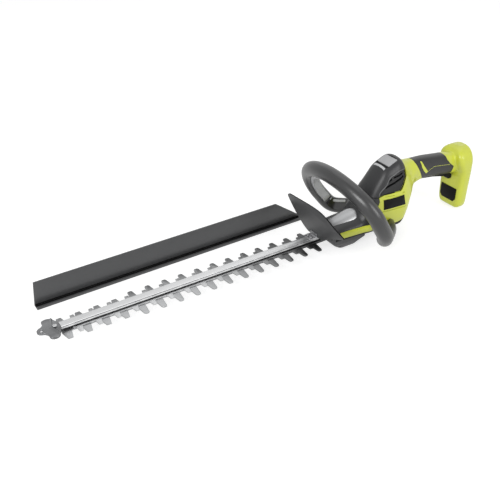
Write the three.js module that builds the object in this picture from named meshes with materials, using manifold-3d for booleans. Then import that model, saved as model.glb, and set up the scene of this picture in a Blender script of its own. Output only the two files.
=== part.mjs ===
// Cordless hedge trimmer, in millimetres. +X runs along the blade to its tip, +Y is the user's left,
// +Z is up. The origin is the middle of the flat foot under the gear case, on which the tool rests.
import * as THREE from 'three';
import { mergeVertices } from 'three/addons/utils/BufferGeometryUtils.js';
import Module from 'manifold-3d';

const wasm = await Module();
wasm.setup();

// ---- Driving dimensions ----------------------------------------------------------------------
const gap = 0.3; // between pieces that touch
const runGap = 0.25; // radial clearance of what turns or slides

// Cutting blades
const toothPitch = 35;
const toothCount = 16;
const bluntCount = 4; // short blunt teeth at the tip
const bladeThickness = 2.2;
const bladeHalf = 12;
const bladeBed = 29.8; // height of the lower blade's underside
const longReach = 39.4;
const longRoot = 8.2;
const longTip = 5;
const bluntReach = 31.3;
const bluntRoot = 9;
const bluntTip = 4.5;
const shortReach = 25.5;
const shortRoot = 6;
const shortTip = 3.3;
const throwRadius = 5; // of the two eccentrics
const restShift = 2.45; // each blade's place away from the middle of its stroke
const bladeFront = toothPitch * toothCount - 30; // end of the lower blade with its stroke at the middle

// Guide bar
const barHalf = 8;
const barHeight = 8;
const barRear = -68;
const barFront = bladeFront + 2;
const barTab = 18;
const bladeBolts = [0, 1, 2, 3].map((i) => 40 + i * (4 * toothPitch - 2));
const boltRadius = 2.8;
const boltHead = 5.5;

// Nose piece
const noseThick = 3.8;
const noseHoleX = barFront + 33;
const noseHole = 3.2;

// Gear train: crank and idler, then idler and motor pinion
const crankX = -100;
const slowModule = 1.5;
const fastModule = 1.2;
const crankTeeth = 30;
const idlerTeeth = 10;
const idlerBigTeeth = 40;
const pinionTeeth = 12;
const gearDeck = 38; // underside of the crank gear
const gearFace = 7;
const fastFace = 5;
const crankPin = 3;
const idlerPin = 2.5;
const shaftRadius = 2.5;
const eccentricRadius = 9;

// Gear case
const caseHalf = 29;
const caseFront = -46;
const caseRear = -128;
const footHalf = 14;
const footRear = -104;
const footFront = -70;
const caseWall = 3;
const bossRadius = 20;
const bossTop = 75;
const bossTip = -131;

// Motor
const motorRadius = 22;
const motorHeight = 47;
const motorWall = 2;
const fanRadius = 19;

// Housing
const wall = 2.6;
const screwRadius = 1.6;
const screwHead = 3;
const bodyHalf = 43;
const noseHalf = 33;
const coverSeam = 105; // seam between nose cover and motor cover
const stripTop = 51.5; // upper edge of the green strip along the nose
const gripHalf = 18;
const gripTall = 23;
const gripSkin = 2.4;
const gripX = -300;
const gripZ = 125;
const gripFall = 0.13; // the grip's fall per millimetre towards the rear
const pinX = -289; // the trigger's pin
const pinZ = 107;
const triggerHalf = 5.8;
const footMid = -410;
const triggerTail = footMid + 20;
const footDepth = 30;
const socketHalf = 36;
const footLow = 4;
const footTop = 151;
const pocketHalf = 20;
const pocketLow = 88;
const pocketTop = 132;
const pocketDeep = 28;

// Front handle
const tubeRadius = 16.5;
const tubeWall = 3;
const loopLean = 0.56; // the loop's plane leans forward by this much per millimetre of height
const leverTravel = 4;

// Hand guard
const guardX = -14;
const guardThick = 3;

// Debris sweep
const sweepFront = barFront + 5;
const sweepTopRear = 0;
const sweepLipRear = -77;
const sweepYaw = 0.78; // degrees out of line with the guide bar, as it stands beside the tool
const sweepFoot = -135;
const sweepTop = 64;

// ---- Places worked out from the sizes ----------------------------------------------------------
const upperBed = bladeBed + bladeThickness + gap;
const bladeTop = upperBed + bladeThickness;
const barBed = bladeTop + gap;
const barTop = barBed + barHeight;
const plateBed = barBed + gap;
const slowCentres = (slowModule * (crankTeeth + idlerTeeth)) / 2;
const fastCentres = (fastModule * (idlerBigTeeth + pinionTeeth)) / 2;
const idlerX = crankX - slowCentres;
const motorX = idlerX - fastCentres;
const deckTop = gearDeck + gearFace;
const fastDeck = deckTop + 1.5;
const fastTop = fastDeck + fastFace;
const caseRoof = fastTop + 1.2 + caseWall;
const fanBed = caseRoof + 1.5;
const fanTop = fanBed + 5.5;
const motorBed = fanTop + 2;
const motorTop = motorBed + motorHeight;
const crankAngle = Math.acos(-restShift / throwRadius);
const bladeRear = crankX - eccentricRadius - 2 * throwRadius - 5;

// ---- Helpers ------------------------------------------------------------------------------------
const group = new THREE.Group();

function solid(geometry) {
  const bare = (geometry.index ? geometry.toNonIndexed() : geometry.clone());
  bare.deleteAttribute('normal');
  bare.deleteAttribute('uv');
  const joined = mergeVertices(bare, 1e-4);
  return new wasm.Manifold(new wasm.Mesh({
    numProp: 3,
    vertProperties: new Float32Array(joined.attributes.position.array),
    triVerts: new Uint32Array(joined.index.array),
  }));
}

function skin(manifold) {
  const mesh = manifold.getMesh();
  const geometry = new THREE.BufferGeometry();
  geometry.setAttribute('position', new THREE.BufferAttribute(mesh.vertProperties, 3));
  geometry.setIndex(new THREE.BufferAttribute(mesh.triVerts, 1));
  return geometry;
}

function add(name, manifold, look) {
  const material = new THREE.MeshStandardMaterial(look);
  const mesh = new THREE.Mesh(skin(manifold), material);
  mesh.name = name;
  group.add(mesh);
}

const join = (...solids) => solids.reduce((sum, next) => sum.add(next));
const cut = (first, ...solids) => solids.reduce((rest, next) => rest.subtract(next), first);

function block(x0, x1, y0, y1, z0, z1) {
  const box = new THREE.BoxGeometry(x1 - x0, y1 - y0, z1 - z0);
  return solid(box.translate((x0 + x1) / 2, (y0 + y1) / 2, (z0 + z1) / 2));
}

function post(radius, x, y, z0, z1, sides = 20, topRadius = radius) {
  const rod = new THREE.CylinderGeometry(topRadius, radius, z1 - z0, sides);
  return solid(rod.rotateX(Math.PI / 2).translate(x, y, (z0 + z1) / 2));
}

function crossRod(radius, x, z, y0, y1, sides = 16) {
  const rod = new THREE.CylinderGeometry(radius, radius, y1 - y0, sides);
  return solid(rod.translate(x, (y0 + y1) / 2, z));
}

function outline(points) {
  return new THREE.Shape(points.map(([a, b]) => new THREE.Vector2(a, b)));
}

// An outline seen from above, raised from z0 to z1.
function slab(shape, z0, z1, segments = 6) {
  const settings = { depth: z1 - z0, bevelEnabled: false, curveSegments: segments };
  return solid(new THREE.ExtrudeGeometry(shape, settings).translate(0, 0, z0));
}

// An outline seen from the left side (x, z), drawn across from y0 to y1.
function profile(points, y0, y1) {
  const settings = { depth: y1 - y0, bevelEnabled: false };
  const raised = new THREE.ExtrudeGeometry(outline(points), settings);
  return solid(raised.rotateX(Math.PI / 2).translate(0, y1, 0));
}

// Rings of points of equal number, joined into one closed body with flat ends.
function loft(rings) {
  const count = rings[0].length;
  const positions = [];
  const face = (a, b, c) => positions.push(...a.toArray(), ...b.toArray(), ...c.toArray());
  for (let r = 0; r + 1 < rings.length; r += 1) {
    for (let i = 0; i < count; i += 1) {
      const j = (i + 1) % count;
      face(rings[r][i], rings[r][j], rings[r + 1][i]);
      face(rings[r][j], rings[r + 1][j], rings[r + 1][i]);
    }
  }
  for (const [ring, flip] of [[rings[0], true], [rings[rings.length - 1], false]]) {
    const middle = ring.reduce((sum, p) => sum.add(p), new THREE.Vector3()).divideScalar(count);
    for (let i = 0; i < count; i += 1) {
      const j = (i + 1) % count;
      if (flip) face(middle, ring[j], ring[i]);
      else face(middle, ring[i], ring[j]);
    }
  }
  const geometry = new THREE.BufferGeometry();
  geometry.setAttribute('position', new THREE.Float32BufferAttribute(positions, 3));
  const body = solid(geometry);
  if (body.volume() > 0) return body;
  const turned = [...rings].reverse();
  return loft(turned);
}

// A smooth ring through half an outline and its mirror image about y = 0.
function mirroredRing(half, place, count) {
  const left = half.map(([w, h]) => new THREE.Vector3(w, h, 0));
  const right = [...half].reverse().map(([w, h]) => new THREE.Vector3(-w, h, 0));
  const curve = new THREE.CatmullRomCurve3([...left, ...right], true, 'centripetal');
  return Array.from({ length: count }, (_, i) => place(curve.getPoint(i / count)));
}

// ---- Looks --------------------------------------------------------------------------------------
const lime = { color: 0xbfd02c, roughness: 0.42, metalness: 0 };
const charcoal = { color: 0x3a3b3c, roughness: 0.6, metalness: 0 };
const softGrip = { color: 0x404142, roughness: 0.75, metalness: 0 };
const handleGrey = { color: 0x4b4c4e, roughness: 0.5, metalness: 0 };
const paleGrey = { color: 0xa3a5a6, roughness: 0.45, metalness: 0 };
const black = { color: 0x18191a, roughness: 0.55, metalness: 0 };
const aluminium = { color: 0xc9cacb, roughness: 0.35, metalness: 1 };
const steel = { color: 0x9b9da0, roughness: 0.4, metalness: 1 };
const darkSteel = { color: 0x5b5d60, roughness: 0.45, metalness: 1 };
const castMetal = { color: 0x9c9d9e, roughness: 0.45, metalness: 0.6 };
const copper = { color: 0xb87443, roughness: 0.4, metalness: 1 };
const boardGreen = { color: 0x2f6b3c, roughness: 0.5, metalness: 0 };

// ---- Blades, bar and nose -------------------------------------------------------------------------
// One tooth's four or more outline points, on the side of the blade that `side` says.
function toothPoints(x, side, reach, root, tip, round) {
  const points = [[x - root, bladeHalf], [x - tip, reach - (round ? tip * 0.6 : 0)]];
  if (round) points.push([x - tip * 0.55, reach - 0.6], [x + tip * 0.55, reach - 0.6]);
  points.push([x + tip, reach - (round ? tip * 0.6 : 0)], [x + root, bladeHalf]);
  return points.map(([px, py]) => [px, side * py]);
}

function bladeOutline(teeth, rear, front, waist) {
  const rightSide = teeth.flatMap((t) => toothPoints(t.x, -1, t.reach, t.root, t.tip, t.round));
  const leftSide = teeth.flatMap((t) => toothPoints(t.x, 1, t.reach, t.root, t.tip, t.round));
  const tail = [[rear, -waist], [crankX + waist, -waist], [crankX + waist + 8, -bladeHalf + 2]];
  const nose = [[front, -bladeHalf + 3], [front, bladeHalf - 3]];
  const mirroredTail = tail.map(([x, y]) => [x, -y]).reverse();
  return [...tail, ...rightSide, ...nose, ...leftSide.reverse(), ...mirroredTail];
}

function longHole(x, halfLength, radius) {
  const hole = new THREE.Path();
  hole.absarc(x + halfLength - radius, 0, radius, -Math.PI / 2, Math.PI / 2, false);
  hole.absarc(x - halfLength + radius, 0, radius, Math.PI / 2, (3 * Math.PI) / 2, false);
  hole.closePath();
  return hole;
}

function blade(teeth, z0, shift, front) {
  const yokeHalf = eccentricRadius + throwRadius + gap; // half the yoke window's length across
  const yokeReach = eccentricRadius + 2 * throwRadius + gap;
  const shape = outline(bladeOutline(teeth, bladeRear, front, yokeHalf + 4));
  const slotHalf = boltRadius + throwRadius + restShift + 2 * gap;
  for (const x of bladeBolts) shape.holes.push(longHole(x, slotHalf, boltRadius + gap));
  const raw = slab(shape, z0, z0 + bladeThickness, 4);
  const window = block(crankX - yokeReach, crankX + yokeReach, -yokeHalf, yokeHalf, z0 - 1, z0 + 4);
  return cut(raw, window).translate([shift, 0, 0]);
}

const toothX = (i) => bladeFront + 30 - toothPitch * i - restShift; // long teeth at mid stroke
const longTeeth = [];
const shortTeeth = [];
for (let i = toothCount; i >= 1; i -= 1) {
  const blunt = i <= bluntCount;
  longTeeth.push({
    x: toothX(i),
    reach: blunt ? bluntReach : longReach,
    root: blunt ? bluntRoot : longRoot,
    tip: blunt ? bluntTip : longTip,
    round: !blunt,
  });
  if (i > 1) {
    const x = toothX(i) + toothPitch / 2;
    shortTeeth.push({ x, reach: shortReach, root: shortRoot, tip: shortTip, round: false });
  }
}
const lowerFront = toothX(1) + longRoot;
const upperFront = toothX(2) + toothPitch / 2 + 10;
add('lower_blade', blade(longTeeth, bladeBed, restShift, lowerFront), steel);
add('upper_blade', blade(shortTeeth, upperBed, -restShift, upperFront), steel);

// Each bolt's head is under the blades and its shank ends in a blind hole in the bar.
const shankTop = barBed + barHeight - 2;
bladeBolts.forEach((x, i) => {
  const head = post(boltHead, x, 0, bladeBed - gap - 3, bladeBed - gap, 12);
  const shank = post(boltRadius, x, 0, bladeBed - gap - 1, shankTop, 12);
  add(`blade_bolt_${i + 1}`, join(head, shank), darkSteel);
});

const noseBed = barBed + 3.3 + gap;
const noseBoltX = barFront + barTab / 2;
const ridge = 1.2;
const barSection = [
  [-barHalf, barBed], [barHalf, barBed], [barHalf, barTop - ridge], [barHalf - 1.2, barTop],
  [1.2 - barHalf, barTop], [-barHalf, barTop - ridge],
];
const barLength = barFront - barRear;
const barSolid = solid(new THREE.ExtrudeGeometry(outline(barSection), {
  depth: barLength, bevelEnabled: false,
}).applyMatrix4(new THREE.Matrix4().set(0, 0, 1, barRear, 1, 0, 0, 0, 0, 1, 0, 0, 0, 0, 0, 1)));
const barTongue = block(barFront - 1, barFront + barTab, 1 - barHalf, barHalf - 1, barBed, noseBed - gap);
const boltHoles = bladeBolts.map((x) => post(boltRadius + gap, x, 0, barBed - 1, shankTop + gap, 12));
const bracketX = 0;
const bracketBoltY = 4.6;
const bracketBolt = 1.6;
const bracketHoles = [-1, 1].map((s) => (
  post(bracketBolt + gap, bracketX, s * bracketBoltY, barBed + 2, barTop + 1, 10)));
const barPin = 2;
const barPinX = barRear + 4;
const barPinZ = barBed + barHeight / 2;
const barPinHole = crossRod(barPin + gap / 2, barPinX, barPinZ, -22, 22, 12);
const noseHoleCut = post(2 + gap, noseBoltX, 0, barBed - 1, noseBed + 1, 12);
add('guide_bar', cut(
  join(barSolid, barTongue), ...boltHoles, ...bracketHoles, noseHoleCut, barPinHole,
), aluminium);
add('bar_pin', crossRod(barPin, barPinX, barPinZ, -21, 21, 12), steel);

// Flat plate with two blunt ears, and a tab with a hole to hang the tool by.
const earX = barFront + 17;
const earHalf = 29;
const nosePlan = new THREE.Shape();
nosePlan.moveTo(barFront + gap, -barHalf - 1);
nosePlan.lineTo(earX - 11, -earHalf + 8);
nosePlan.quadraticCurveTo(earX - 9, -earHalf, earX, -earHalf);
nosePlan.quadraticCurveTo(earX + 10, -earHalf + 1, earX + 9, -earHalf + 9);
nosePlan.quadraticCurveTo(earX + 9, -13, noseHoleX - 2, -10);
nosePlan.quadraticCurveTo(noseHoleX + 8, -7, noseHoleX + 8, 0);
nosePlan.quadraticCurveTo(noseHoleX + 8, 7, noseHoleX - 2, 10);
nosePlan.quadraticCurveTo(earX + 9, 13, earX + 9, earHalf - 9);
nosePlan.quadraticCurveTo(earX + 10, earHalf - 1, earX, earHalf);
nosePlan.quadraticCurveTo(earX - 9, earHalf, earX - 11, earHalf - 8);
nosePlan.lineTo(barFront + gap, barHalf + 1);
nosePlan.closePath();
const hangHole = new THREE.Path().absarc(noseHoleX, 0, noseHole, 0, 2 * Math.PI);
nosePlan.holes.push(hangHole, new THREE.Path().absarc(noseBoltX, 0, 2 + gap, 0, 2 * Math.PI));
add('nose_guard', slab(nosePlan, noseBed, noseBed + noseThick, 4), darkSteel);
const noseBoltTop = noseBed + noseThick + gap;
add('nose_bolt', join(
  post(4.2, noseBoltX, 0, noseBoltTop, noseBoltTop + 2.2, 12),
  post(2, noseBoltX, 0, barBed + 0.5, noseBoltTop + 1, 12),
), steel);

// ---- Gears and crank --------------------------------------------------------------------------------
function gearOutline(teeth, module, turn) {
  const pitchRadius = (teeth * module) / 2;
  const step = (2 * Math.PI) / teeth;
  const points = [];
  for (let i = 0; i < teeth; i += 1) {
    const middle = turn + i * step;
    for (const [side, radius, share] of [
      [-1, pitchRadius - 1.15 * module, 0.3], [-1, pitchRadius + 0.85 * module, 0.1],
      [1, pitchRadius + 0.85 * module, 0.1], [1, pitchRadius - 1.15 * module, 0.3],
    ]) {
      const angle = middle + side * share * step;
      points.push([radius * Math.cos(angle), radius * Math.sin(angle)]);
    }
  }
  return outline(points);
}

function gear(teeth, module, turn, x, z0, z1) {
  return slab(gearOutline(teeth, module, turn), z0, z1).translate([x, 0, 0]);
}

const idlerTurn = Math.PI / idlerTeeth; // a gap of the idler meets a tooth of the crank gear
const crankGear = gear(crankTeeth, slowModule, 0, crankX, gearDeck, deckTop);
const hub = post(eccentricRadius - throwRadius + 2.5, crankX, 0, bladeTop, gearDeck + 1, 20);
const upperX = crankX + throwRadius * Math.cos(crankAngle);
const upperY = throwRadius * Math.sin(crankAngle);
const upperEccentric = post(eccentricRadius, upperX, upperY, upperBed - gap / 2, gearDeck + 0.5, 24);
const lowerEccentric = post(eccentricRadius, 2 * crankX - upperX, -upperY, bladeBed, upperBed, 24);
const crankBore = post(crankPin + runGap, crankX, 0, bladeBed - 1, deckTop + 1, 20);
add('crank_gear', cut(join(crankGear, hub, upperEccentric, lowerEccentric), crankBore), darkSteel);

const caseFloor = bladeBed - gap;
const axleSeat = 8;
const crankAxleTop = deckTop + 4;
const crankAxleLow = caseFloor - axleSeat;
add('crank_axle', post(crankPin, crankX, 0, crankAxleLow, crankAxleTop, 16), steel);

const idlerGears = join(
  gear(idlerTeeth, slowModule, idlerTurn, idlerX, gearDeck, fastDeck + 1),
  gear(idlerBigTeeth, fastModule, 0, idlerX, fastDeck, fastTop),
);
const idlerBore = post(idlerPin + runGap, idlerX, 0, gearDeck - 1, fastTop + 1, 16);
add('idler_gear', cut(idlerGears, idlerBore), darkSteel);
const plateTop = plateBed + 1.6;
const idlerAxleTop = fastTop + 1.2 + caseWall - 0.8;
add('idler_axle', post(idlerPin, idlerX, 0, plateBed, idlerAxleTop, 14), steel);

// ---- Gear case ----------------------------------------------------------------------------------------
function rectRing(x0, x1, half, corner, z) {
  const points = [];
  const corners = [[x1 - corner, half - corner, 0], [x0 + corner, half - corner, 1],
    [x0 + corner, corner - half, 2], [x1 - corner, corner - half, 3]];
  for (const [cx, cy, quarter] of corners) {
    for (let k = 0; k <= 3; k += 1) {
      const angle = (quarter + k / 3) * (Math.PI / 2);
      points.push(new THREE.Vector3(cx + corner * Math.cos(angle), cy + corner * Math.sin(angle), z));
    }
  }
  return points;
}

const bowl = loft([
  rectRing(footRear, footFront, footHalf, 6, 0),
  rectRing(footRear - 6, footFront + 6, footHalf + 7, 8, 5),
  rectRing(footRear - 12, caseFront - 7, caseHalf - 3, 8, 13),
  rectRing(caseRear, caseFront, caseHalf, 5, 21),
  rectRing(caseRear, caseFront, caseHalf, 6, plateBed - gap),
]);
const bladeHalfRoom = eccentricRadius + throwRadius + 4 + 3 * gap;
const bladeRoom = block(caseRear - 20, caseFront + 20, -bladeHalfRoom, bladeHalfRoom, caseFloor, 60);
const bowlHollow = loft([
  rectRing(footRear + 1, footFront - 1, footHalf - 4, 3, 4),
  rectRing(caseRear + 10, caseFront - 12, caseHalf - 8, 6, 18),
  rectRing(caseRear + 10, caseFront - 12, caseHalf - 8, 6, caseFloor - 3),
]);
const hollowVent = block(footRear + 12, footRear + 18, -4, 4, caseFloor - 5, caseFloor + 1);
const axleBoss = post(crankPin + 4, crankX, 0, 2, caseFloor - 1, 16);
const axleHole = post(crankPin + gap, crankX, 0, crankAxleLow - gap, caseFloor + 1, 16);
const caseScrews = [[-61, 1], [-61, -1], [-117, 1], [-117, -1]];
const caseScrewY = 23;
const screwTop = deckTop - 1.5;
const screwLow = 17;
const caseHole = ([x, side], radius, z0, z1) => post(radius, x, side * caseScrewY, z0, z1, 10);
const bottomHoles = caseScrews.flatMap((at) => [
  caseHole(at, 1.8 + gap, 5, 60), caseHole(at, 3.6 + gap, 5, screwLow + 3),
]);
const bowlShell = cut(join(cut(bowl, bowlHollow), axleBoss), bladeRoom, hollowVent, axleHole);
add('gear_case_bottom', cut(bowlShell, ...bottomHoles), charcoal);

caseScrews.forEach((at, i) => {
  const head = caseHole(at, 3.6, screwLow, screwLow + 2.7);
  const shank = caseHole(at, 1.8, screwLow + 1, screwTop);
  add(`gear_case_screw_${i + 1}`, join(head, shank), steel);
});

// The steel plate between the blades and the gears carries the idler's axle.
const caseEnd = motorX - pinionTeeth * fastModule / 2 - 7;
const platePlan = rectRing(caseEnd + 3, barRear - gap, caseHalf - 0.5, 6, 0).map((p) => [p.x, p.y]);
const plateBody = slab(outline(platePlan), plateBed, plateTop);
const plateHoles = [
  post(eccentricRadius + throwRadius + gap, crankX, 0, plateBed - 1, plateTop + 1, 24),
  post(idlerPin + gap / 3, idlerX, 0, plateBed - 1, plateTop + 1, 14),
  ...caseScrews.slice(2).map((at) => caseHole(at, 1.8 + gap, plateBed - 1, plateTop + 1)),
];
add('gear_plate', cut(plateBody, ...plateHoles), steel);

const topBed = plateTop + gap;
const lowerBox = loft([
  rectRing(caseEnd, caseFront, caseHalf, 6, topBed), rectRing(caseEnd, caseFront, caseHalf, 6, 47),
]);
const upperBox = loft([
  rectRing(caseEnd, crankX, caseHalf - 1.5, 8, 46), rectRing(caseEnd, crankX, caseHalf - 1.5, 8, caseRoof),
]);
function bossRing(x, radius, top) {
  const half = [[radius * 0.98, topBed + 5], [radius, (topBed + top) / 2], [radius * 0.9, top - radius * 0.5],
    [radius * 0.55, top - radius * 0.14], [radius * 0.18, top]];
  return mirroredRing(half, (p) => new THREE.Vector3(x, p.x, p.y), 18);
}
const bossRings = (grow) => [
  bossRing(caseFront + (grow ? 9 : 0.1), bossRadius - 2 + grow, bossTop - 13 + grow),
  bossRing(caseFront - 8, bossRadius - 1 + grow, bossTop - 10 + grow),
  bossRing(crankX - 4, bossRadius + 1 + grow, bossTop + grow),
  bossRing(crankX - 12, bossRadius - 5 + grow, bossTop - 1 + grow),
  bossRing(bossTip - grow, bossRadius / 4 + grow, bossTop - 9 + grow),
];
const boss = loft(bossRings(0));
const barSlot = block(barRear - gap, caseFront + 20, -barHalf - gap, barHalf + gap, 0, barTop + gap);
const crankRoom = post(crankTeeth * slowModule / 2 + slowModule + 0.7, crankX, 0, 0, deckTop + 1, 32);
const idlerRoom = join(
  post(idlerTeeth * slowModule / 2 + slowModule + 1, idlerX, 0, 0, deckTop + 3, 24),
  post(idlerBigTeeth * fastModule / 2 + fastModule + 0.7, idlerX, 0, 0, fastTop + 1.2, 32),
);
const pinionRoom = post(pinionTeeth * fastModule / 2 + fastModule + 1, motorX, 0, 0, fastTop + 1.2, 20);
const topHoles = [
  post(crankPin + gap / 3, crankX, 0, 0, crankAxleTop + gap, 16),
  post(idlerPin + gap / 3, idlerX, 0, 0, idlerAxleTop + gap, 14),
  post(shaftRadius + 1.2, motorX, 0, 0, caseRoof + 1, 16),
  ...caseScrews.map((at) => caseHole(at, 1.8 + gap, 0, screwTop + gap)),
  barPinHole,
];
const caseTop = cut(
  join(lowerBox, upperBox, boss), barSlot, crankRoom, idlerRoom, pinionRoom, ...topHoles,
);
add('gear_case_top', caseTop, castMetal);

// ---- Motor ---------------------------------------------------------------------------------------------
const pinion = gear(pinionTeeth, fastModule, Math.PI / pinionTeeth, motorX, fastDeck, fastTop);
const shaft = post(shaftRadius, motorX, 0, fastDeck + 1, motorTop + 3, 16);
const core = post(12, motorX, 0, motorBed + 9, motorTop - 9, 16);
add('rotor', join(pinion, shaft, core), steel);

const fanDisc = post(fanRadius, motorX, 0, fanBed, fanBed + 1.5, 24);
const fanHub = post(6, motorX, 0, fanBed, fanTop, 12);
const fanBlades = Array.from({ length: 9 }, (_, i) => {
  const vane = block(5, fanRadius - 1, -0.6, 0.6, fanBed + 1, fanTop);
  return vane.rotate([0, 0, (i * 360) / 9]).translate([motorX, 0, 0]);
});
const fanBore = post(shaftRadius + gap / 3, motorX, 0, fanBed - 1, fanTop + 1, 16);
add('motor_fan', cut(join(fanDisc, fanHub, ...fanBlades), fanBore), black);

function ring(outer, inner, x, z0, z1, sides = 24) {
  return cut(post(outer, x, 0, z0, z1, sides), post(inner, x, 0, z0 - 1, z1 + 1, sides));
}
const bearingOuter = 7;
const bearingTall = 4.6;
const endPlateTop = motorBed + 3;
add('motor_end_plate', cut(
  post(motorRadius, motorX, 0, motorBed, endPlateTop, 32),
  post(bearingOuter + gap / 2, motorX, 0, motorBed - 1, endPlateTop + 1, 20),
), castMetal);
const canBase = endPlateTop + gap;
add('motor_can', cut(
  join(post(motorRadius, motorX, 0, canBase, motorTop - 6, 24),
    post(motorRadius, motorX, 0, motorTop - 6, motorTop, 24, motorRadius - 5)),
  post(motorRadius - motorWall, motorX, 0, canBase - 1, motorTop - 6.5, 24),
  post(bearingOuter + gap / 2, motorX, 0, motorTop - 7, motorTop + 1, 20),
), darkSteel);
add('motor_stator', ring(motorRadius - motorWall - gap, 13, motorX, motorBed + 9, motorTop - 9, 24), copper);
add('motor_bearing_lower', ring(
  bearingOuter, shaftRadius + runGap, motorX, endPlateTop - bearingTall, endPlateTop - 0.2, 20,
), steel);
add('motor_bearing_upper', ring(
  bearingOuter, shaftRadius + runGap, motorX, motorTop - bearingTall, motorTop - 0.2, 20,
), steel);

// ---- Housing ---------------------------------------------------------------------------------------------
// Stations along the body, neck and grip: x, then half outline points (half width, height) bottom to top.
const gripMid = (x) => gripZ + (x - gripX) * gripFall;
function gripStation(x) {
  const z = gripMid(x);
  return [x, [0.55 * gripHalf, z - gripTall], [0.88 * gripHalf, z - 0.72 * gripTall], [gripHalf, z],
    [0.88 * gripHalf, z + 0.72 * gripTall], [0.5 * gripHalf, z + gripTall]];
}
const stations = [
  [caseFront, [25, 30], [noseHalf, 33], [noseHalf, stripTop], [23, 58], [10, 60]],
  [-78, [26, 29], [noseHalf + 1, 33], [noseHalf + 1, stripTop], [25, 60], [10, 64]],
  [-106, [27, 28], [noseHalf + 2, 33], [noseHalf + 3, stripTop + 1], [28, 61], [12, 69]],
  [-116, [27, 27], [noseHalf + 3, 33], [noseHalf + 4, 54], [31, 68], [14, 80]],
  [-126, [28, 26], [38, 34], [39, 60], [33, 80], [17, 97]],
  [-142, [28, 25], [39, 35], [41, 72], [34, 98], [18, 117]],
  [-158, [28, 24], [40, 35], [bodyHalf - 1, 84], [34, 113], [18, 137]],
  [-174, [28, 23], [40, 36], [bodyHalf, 92], [34, 126], [19, 156]],
  [-190, [28, 22], [40, 36], [bodyHalf, 100], [35, 135], [20, 163.5]],
  [-206, [28, 21], [40, 36], [bodyHalf, 105], [35, 141], [19, 170]],
  [-216, [28, 21], [40, 37], [bodyHalf - 1, 106], [33, 142], [18, 168.5]],
  [-226, [27, 31], [38, 46], [bodyHalf - 3, 100], [31, 136], [15, 158]],
  [-236, [24, 50], [33, 62], [37, 95], [28, 130], [14, 153.5]],
  [-244, [20, 68], [27, 78], [32, 94], [25, 127], [13, 151.5]],
  [-250, [15, 82], [21, 90], [27, 100], [23, 128], [12, 150.5]],
  [-259, [12, 92], [18, 99], [22, 114], [20, 134], [11, 150]],
  [-272, [0.6 * gripHalf, 99], [gripHalf - 1, 107], [gripHalf + 1, 122], [gripHalf - 1, 139],
    [0.55 * gripHalf, 149.5]],
  gripStation(-296),
  gripStation(-340),
  gripStation(footMid + 18),
];
const bodyRing = ([x, ...half], inset, count = 20) => {
  const low = half[0][1];
  const high = half[half.length - 1][1];
  const inner = half.map(([w, h]) => [
    w - inset, low + inset + ((h - low) * (high - low - 2 * inset)) / (high - low),
  ]);
  return mirroredRing(inner, (p) => new THREE.Vector3(x, p.x, p.y), count);
};
const footRings = [
  [footLow, 10, -2], [footLow + 7, 5, -1], [56, 2, 0], [92, 0, 0], [106, 0, 6], [118, 0, 11], [128, 2, 13],
  [137, 6, 12], [144, 12, 8], [148.5, 19, 2], [footTop, 27, -5],
];
const flatTo = 110; // the rear face, which the battery slides on to, is flat up to here
function footLoft(inset) {
  return loft(footRings.map(([z, narrow, bulge], i) => {
    const lift = i === 0 ? inset : i === footRings.length - 1 ? -inset : 0;
    const x0 = footMid - footDepth / 2 + inset + (z > flatTo ? narrow / 6 : 0);
    const x1 = footMid + footDepth / 2 - inset + bulge;
    return rectRing(x0, x1, socketHalf - inset - narrow, Math.min(11, 11 - narrow / 4), z + lift);
  }));
}
const bodyOuter = loft(stations.map((s) => bodyRing(s, 0)));
const sleeveStart = -262;
const coreInset = (s) => (s[0] < sleeveStart ? wall + gripSkin : wall);
const bodyInner = loft([
  bodyRing([stations[0][0] + 5, ...stations[0].slice(1)], wall, 16),
  ...stations.map((s) => bodyRing(s, coreInset(s), 16)),
]);
const envelope = join(bodyOuter, footLoft(0));
const hollow = join(bodyInner, footLoft(wall));

const span = 4 * bodyHalf; // the reach of a cutter across the whole body
const seamX = -150; // where the nose cover, the motor cover and the side panels meet
const panelX = -126;
const coverRear = -222;
const coverLow = [
  [seamX, coverSeam], [-161, coverSeam + 4], [-186, coverSeam + 5.5], [-202, coverSeam + 5.6],
  [-207, coverSeam + 11], [-215, coverSeam + 23.5], [coverRear, coverSeam + 32], [coverRear - 2, 190],
];
const coverRegion = (slack) => profile([
  [-60, coverSeam + slack], ...coverLow.map(([x, z]) => [x + (x < -200 ? slack : 0), z + slack]), [-60, 190],
], -span, span);
const noseRegion = (slack) => profile([
  [20, stripTop + slack], [panelX + slack, stripTop + slack], [seamX + slack, coverSeam - 8],
  [seamX + slack, coverSeam - slack], [20, coverSeam - slack],
], -span, span);
const shellSolid = cut(envelope, hollow);
const bossRoom = loft(bossRings(gap));
const upperRoom = loft([
  rectRing(caseEnd - 1, crankX + 1, caseHalf - 1.5 + gap, 8, 44),
  rectRing(caseEnd - 1, crankX + 1, caseHalf - 1.5 + gap, 8, caseRoof + gap),
]);
const noseCover = cut(shellSolid.intersect(noseRegion(gap / 2)), bossRoom, upperRoom);
add('nose_cover', noseCover, charcoal);

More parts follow.
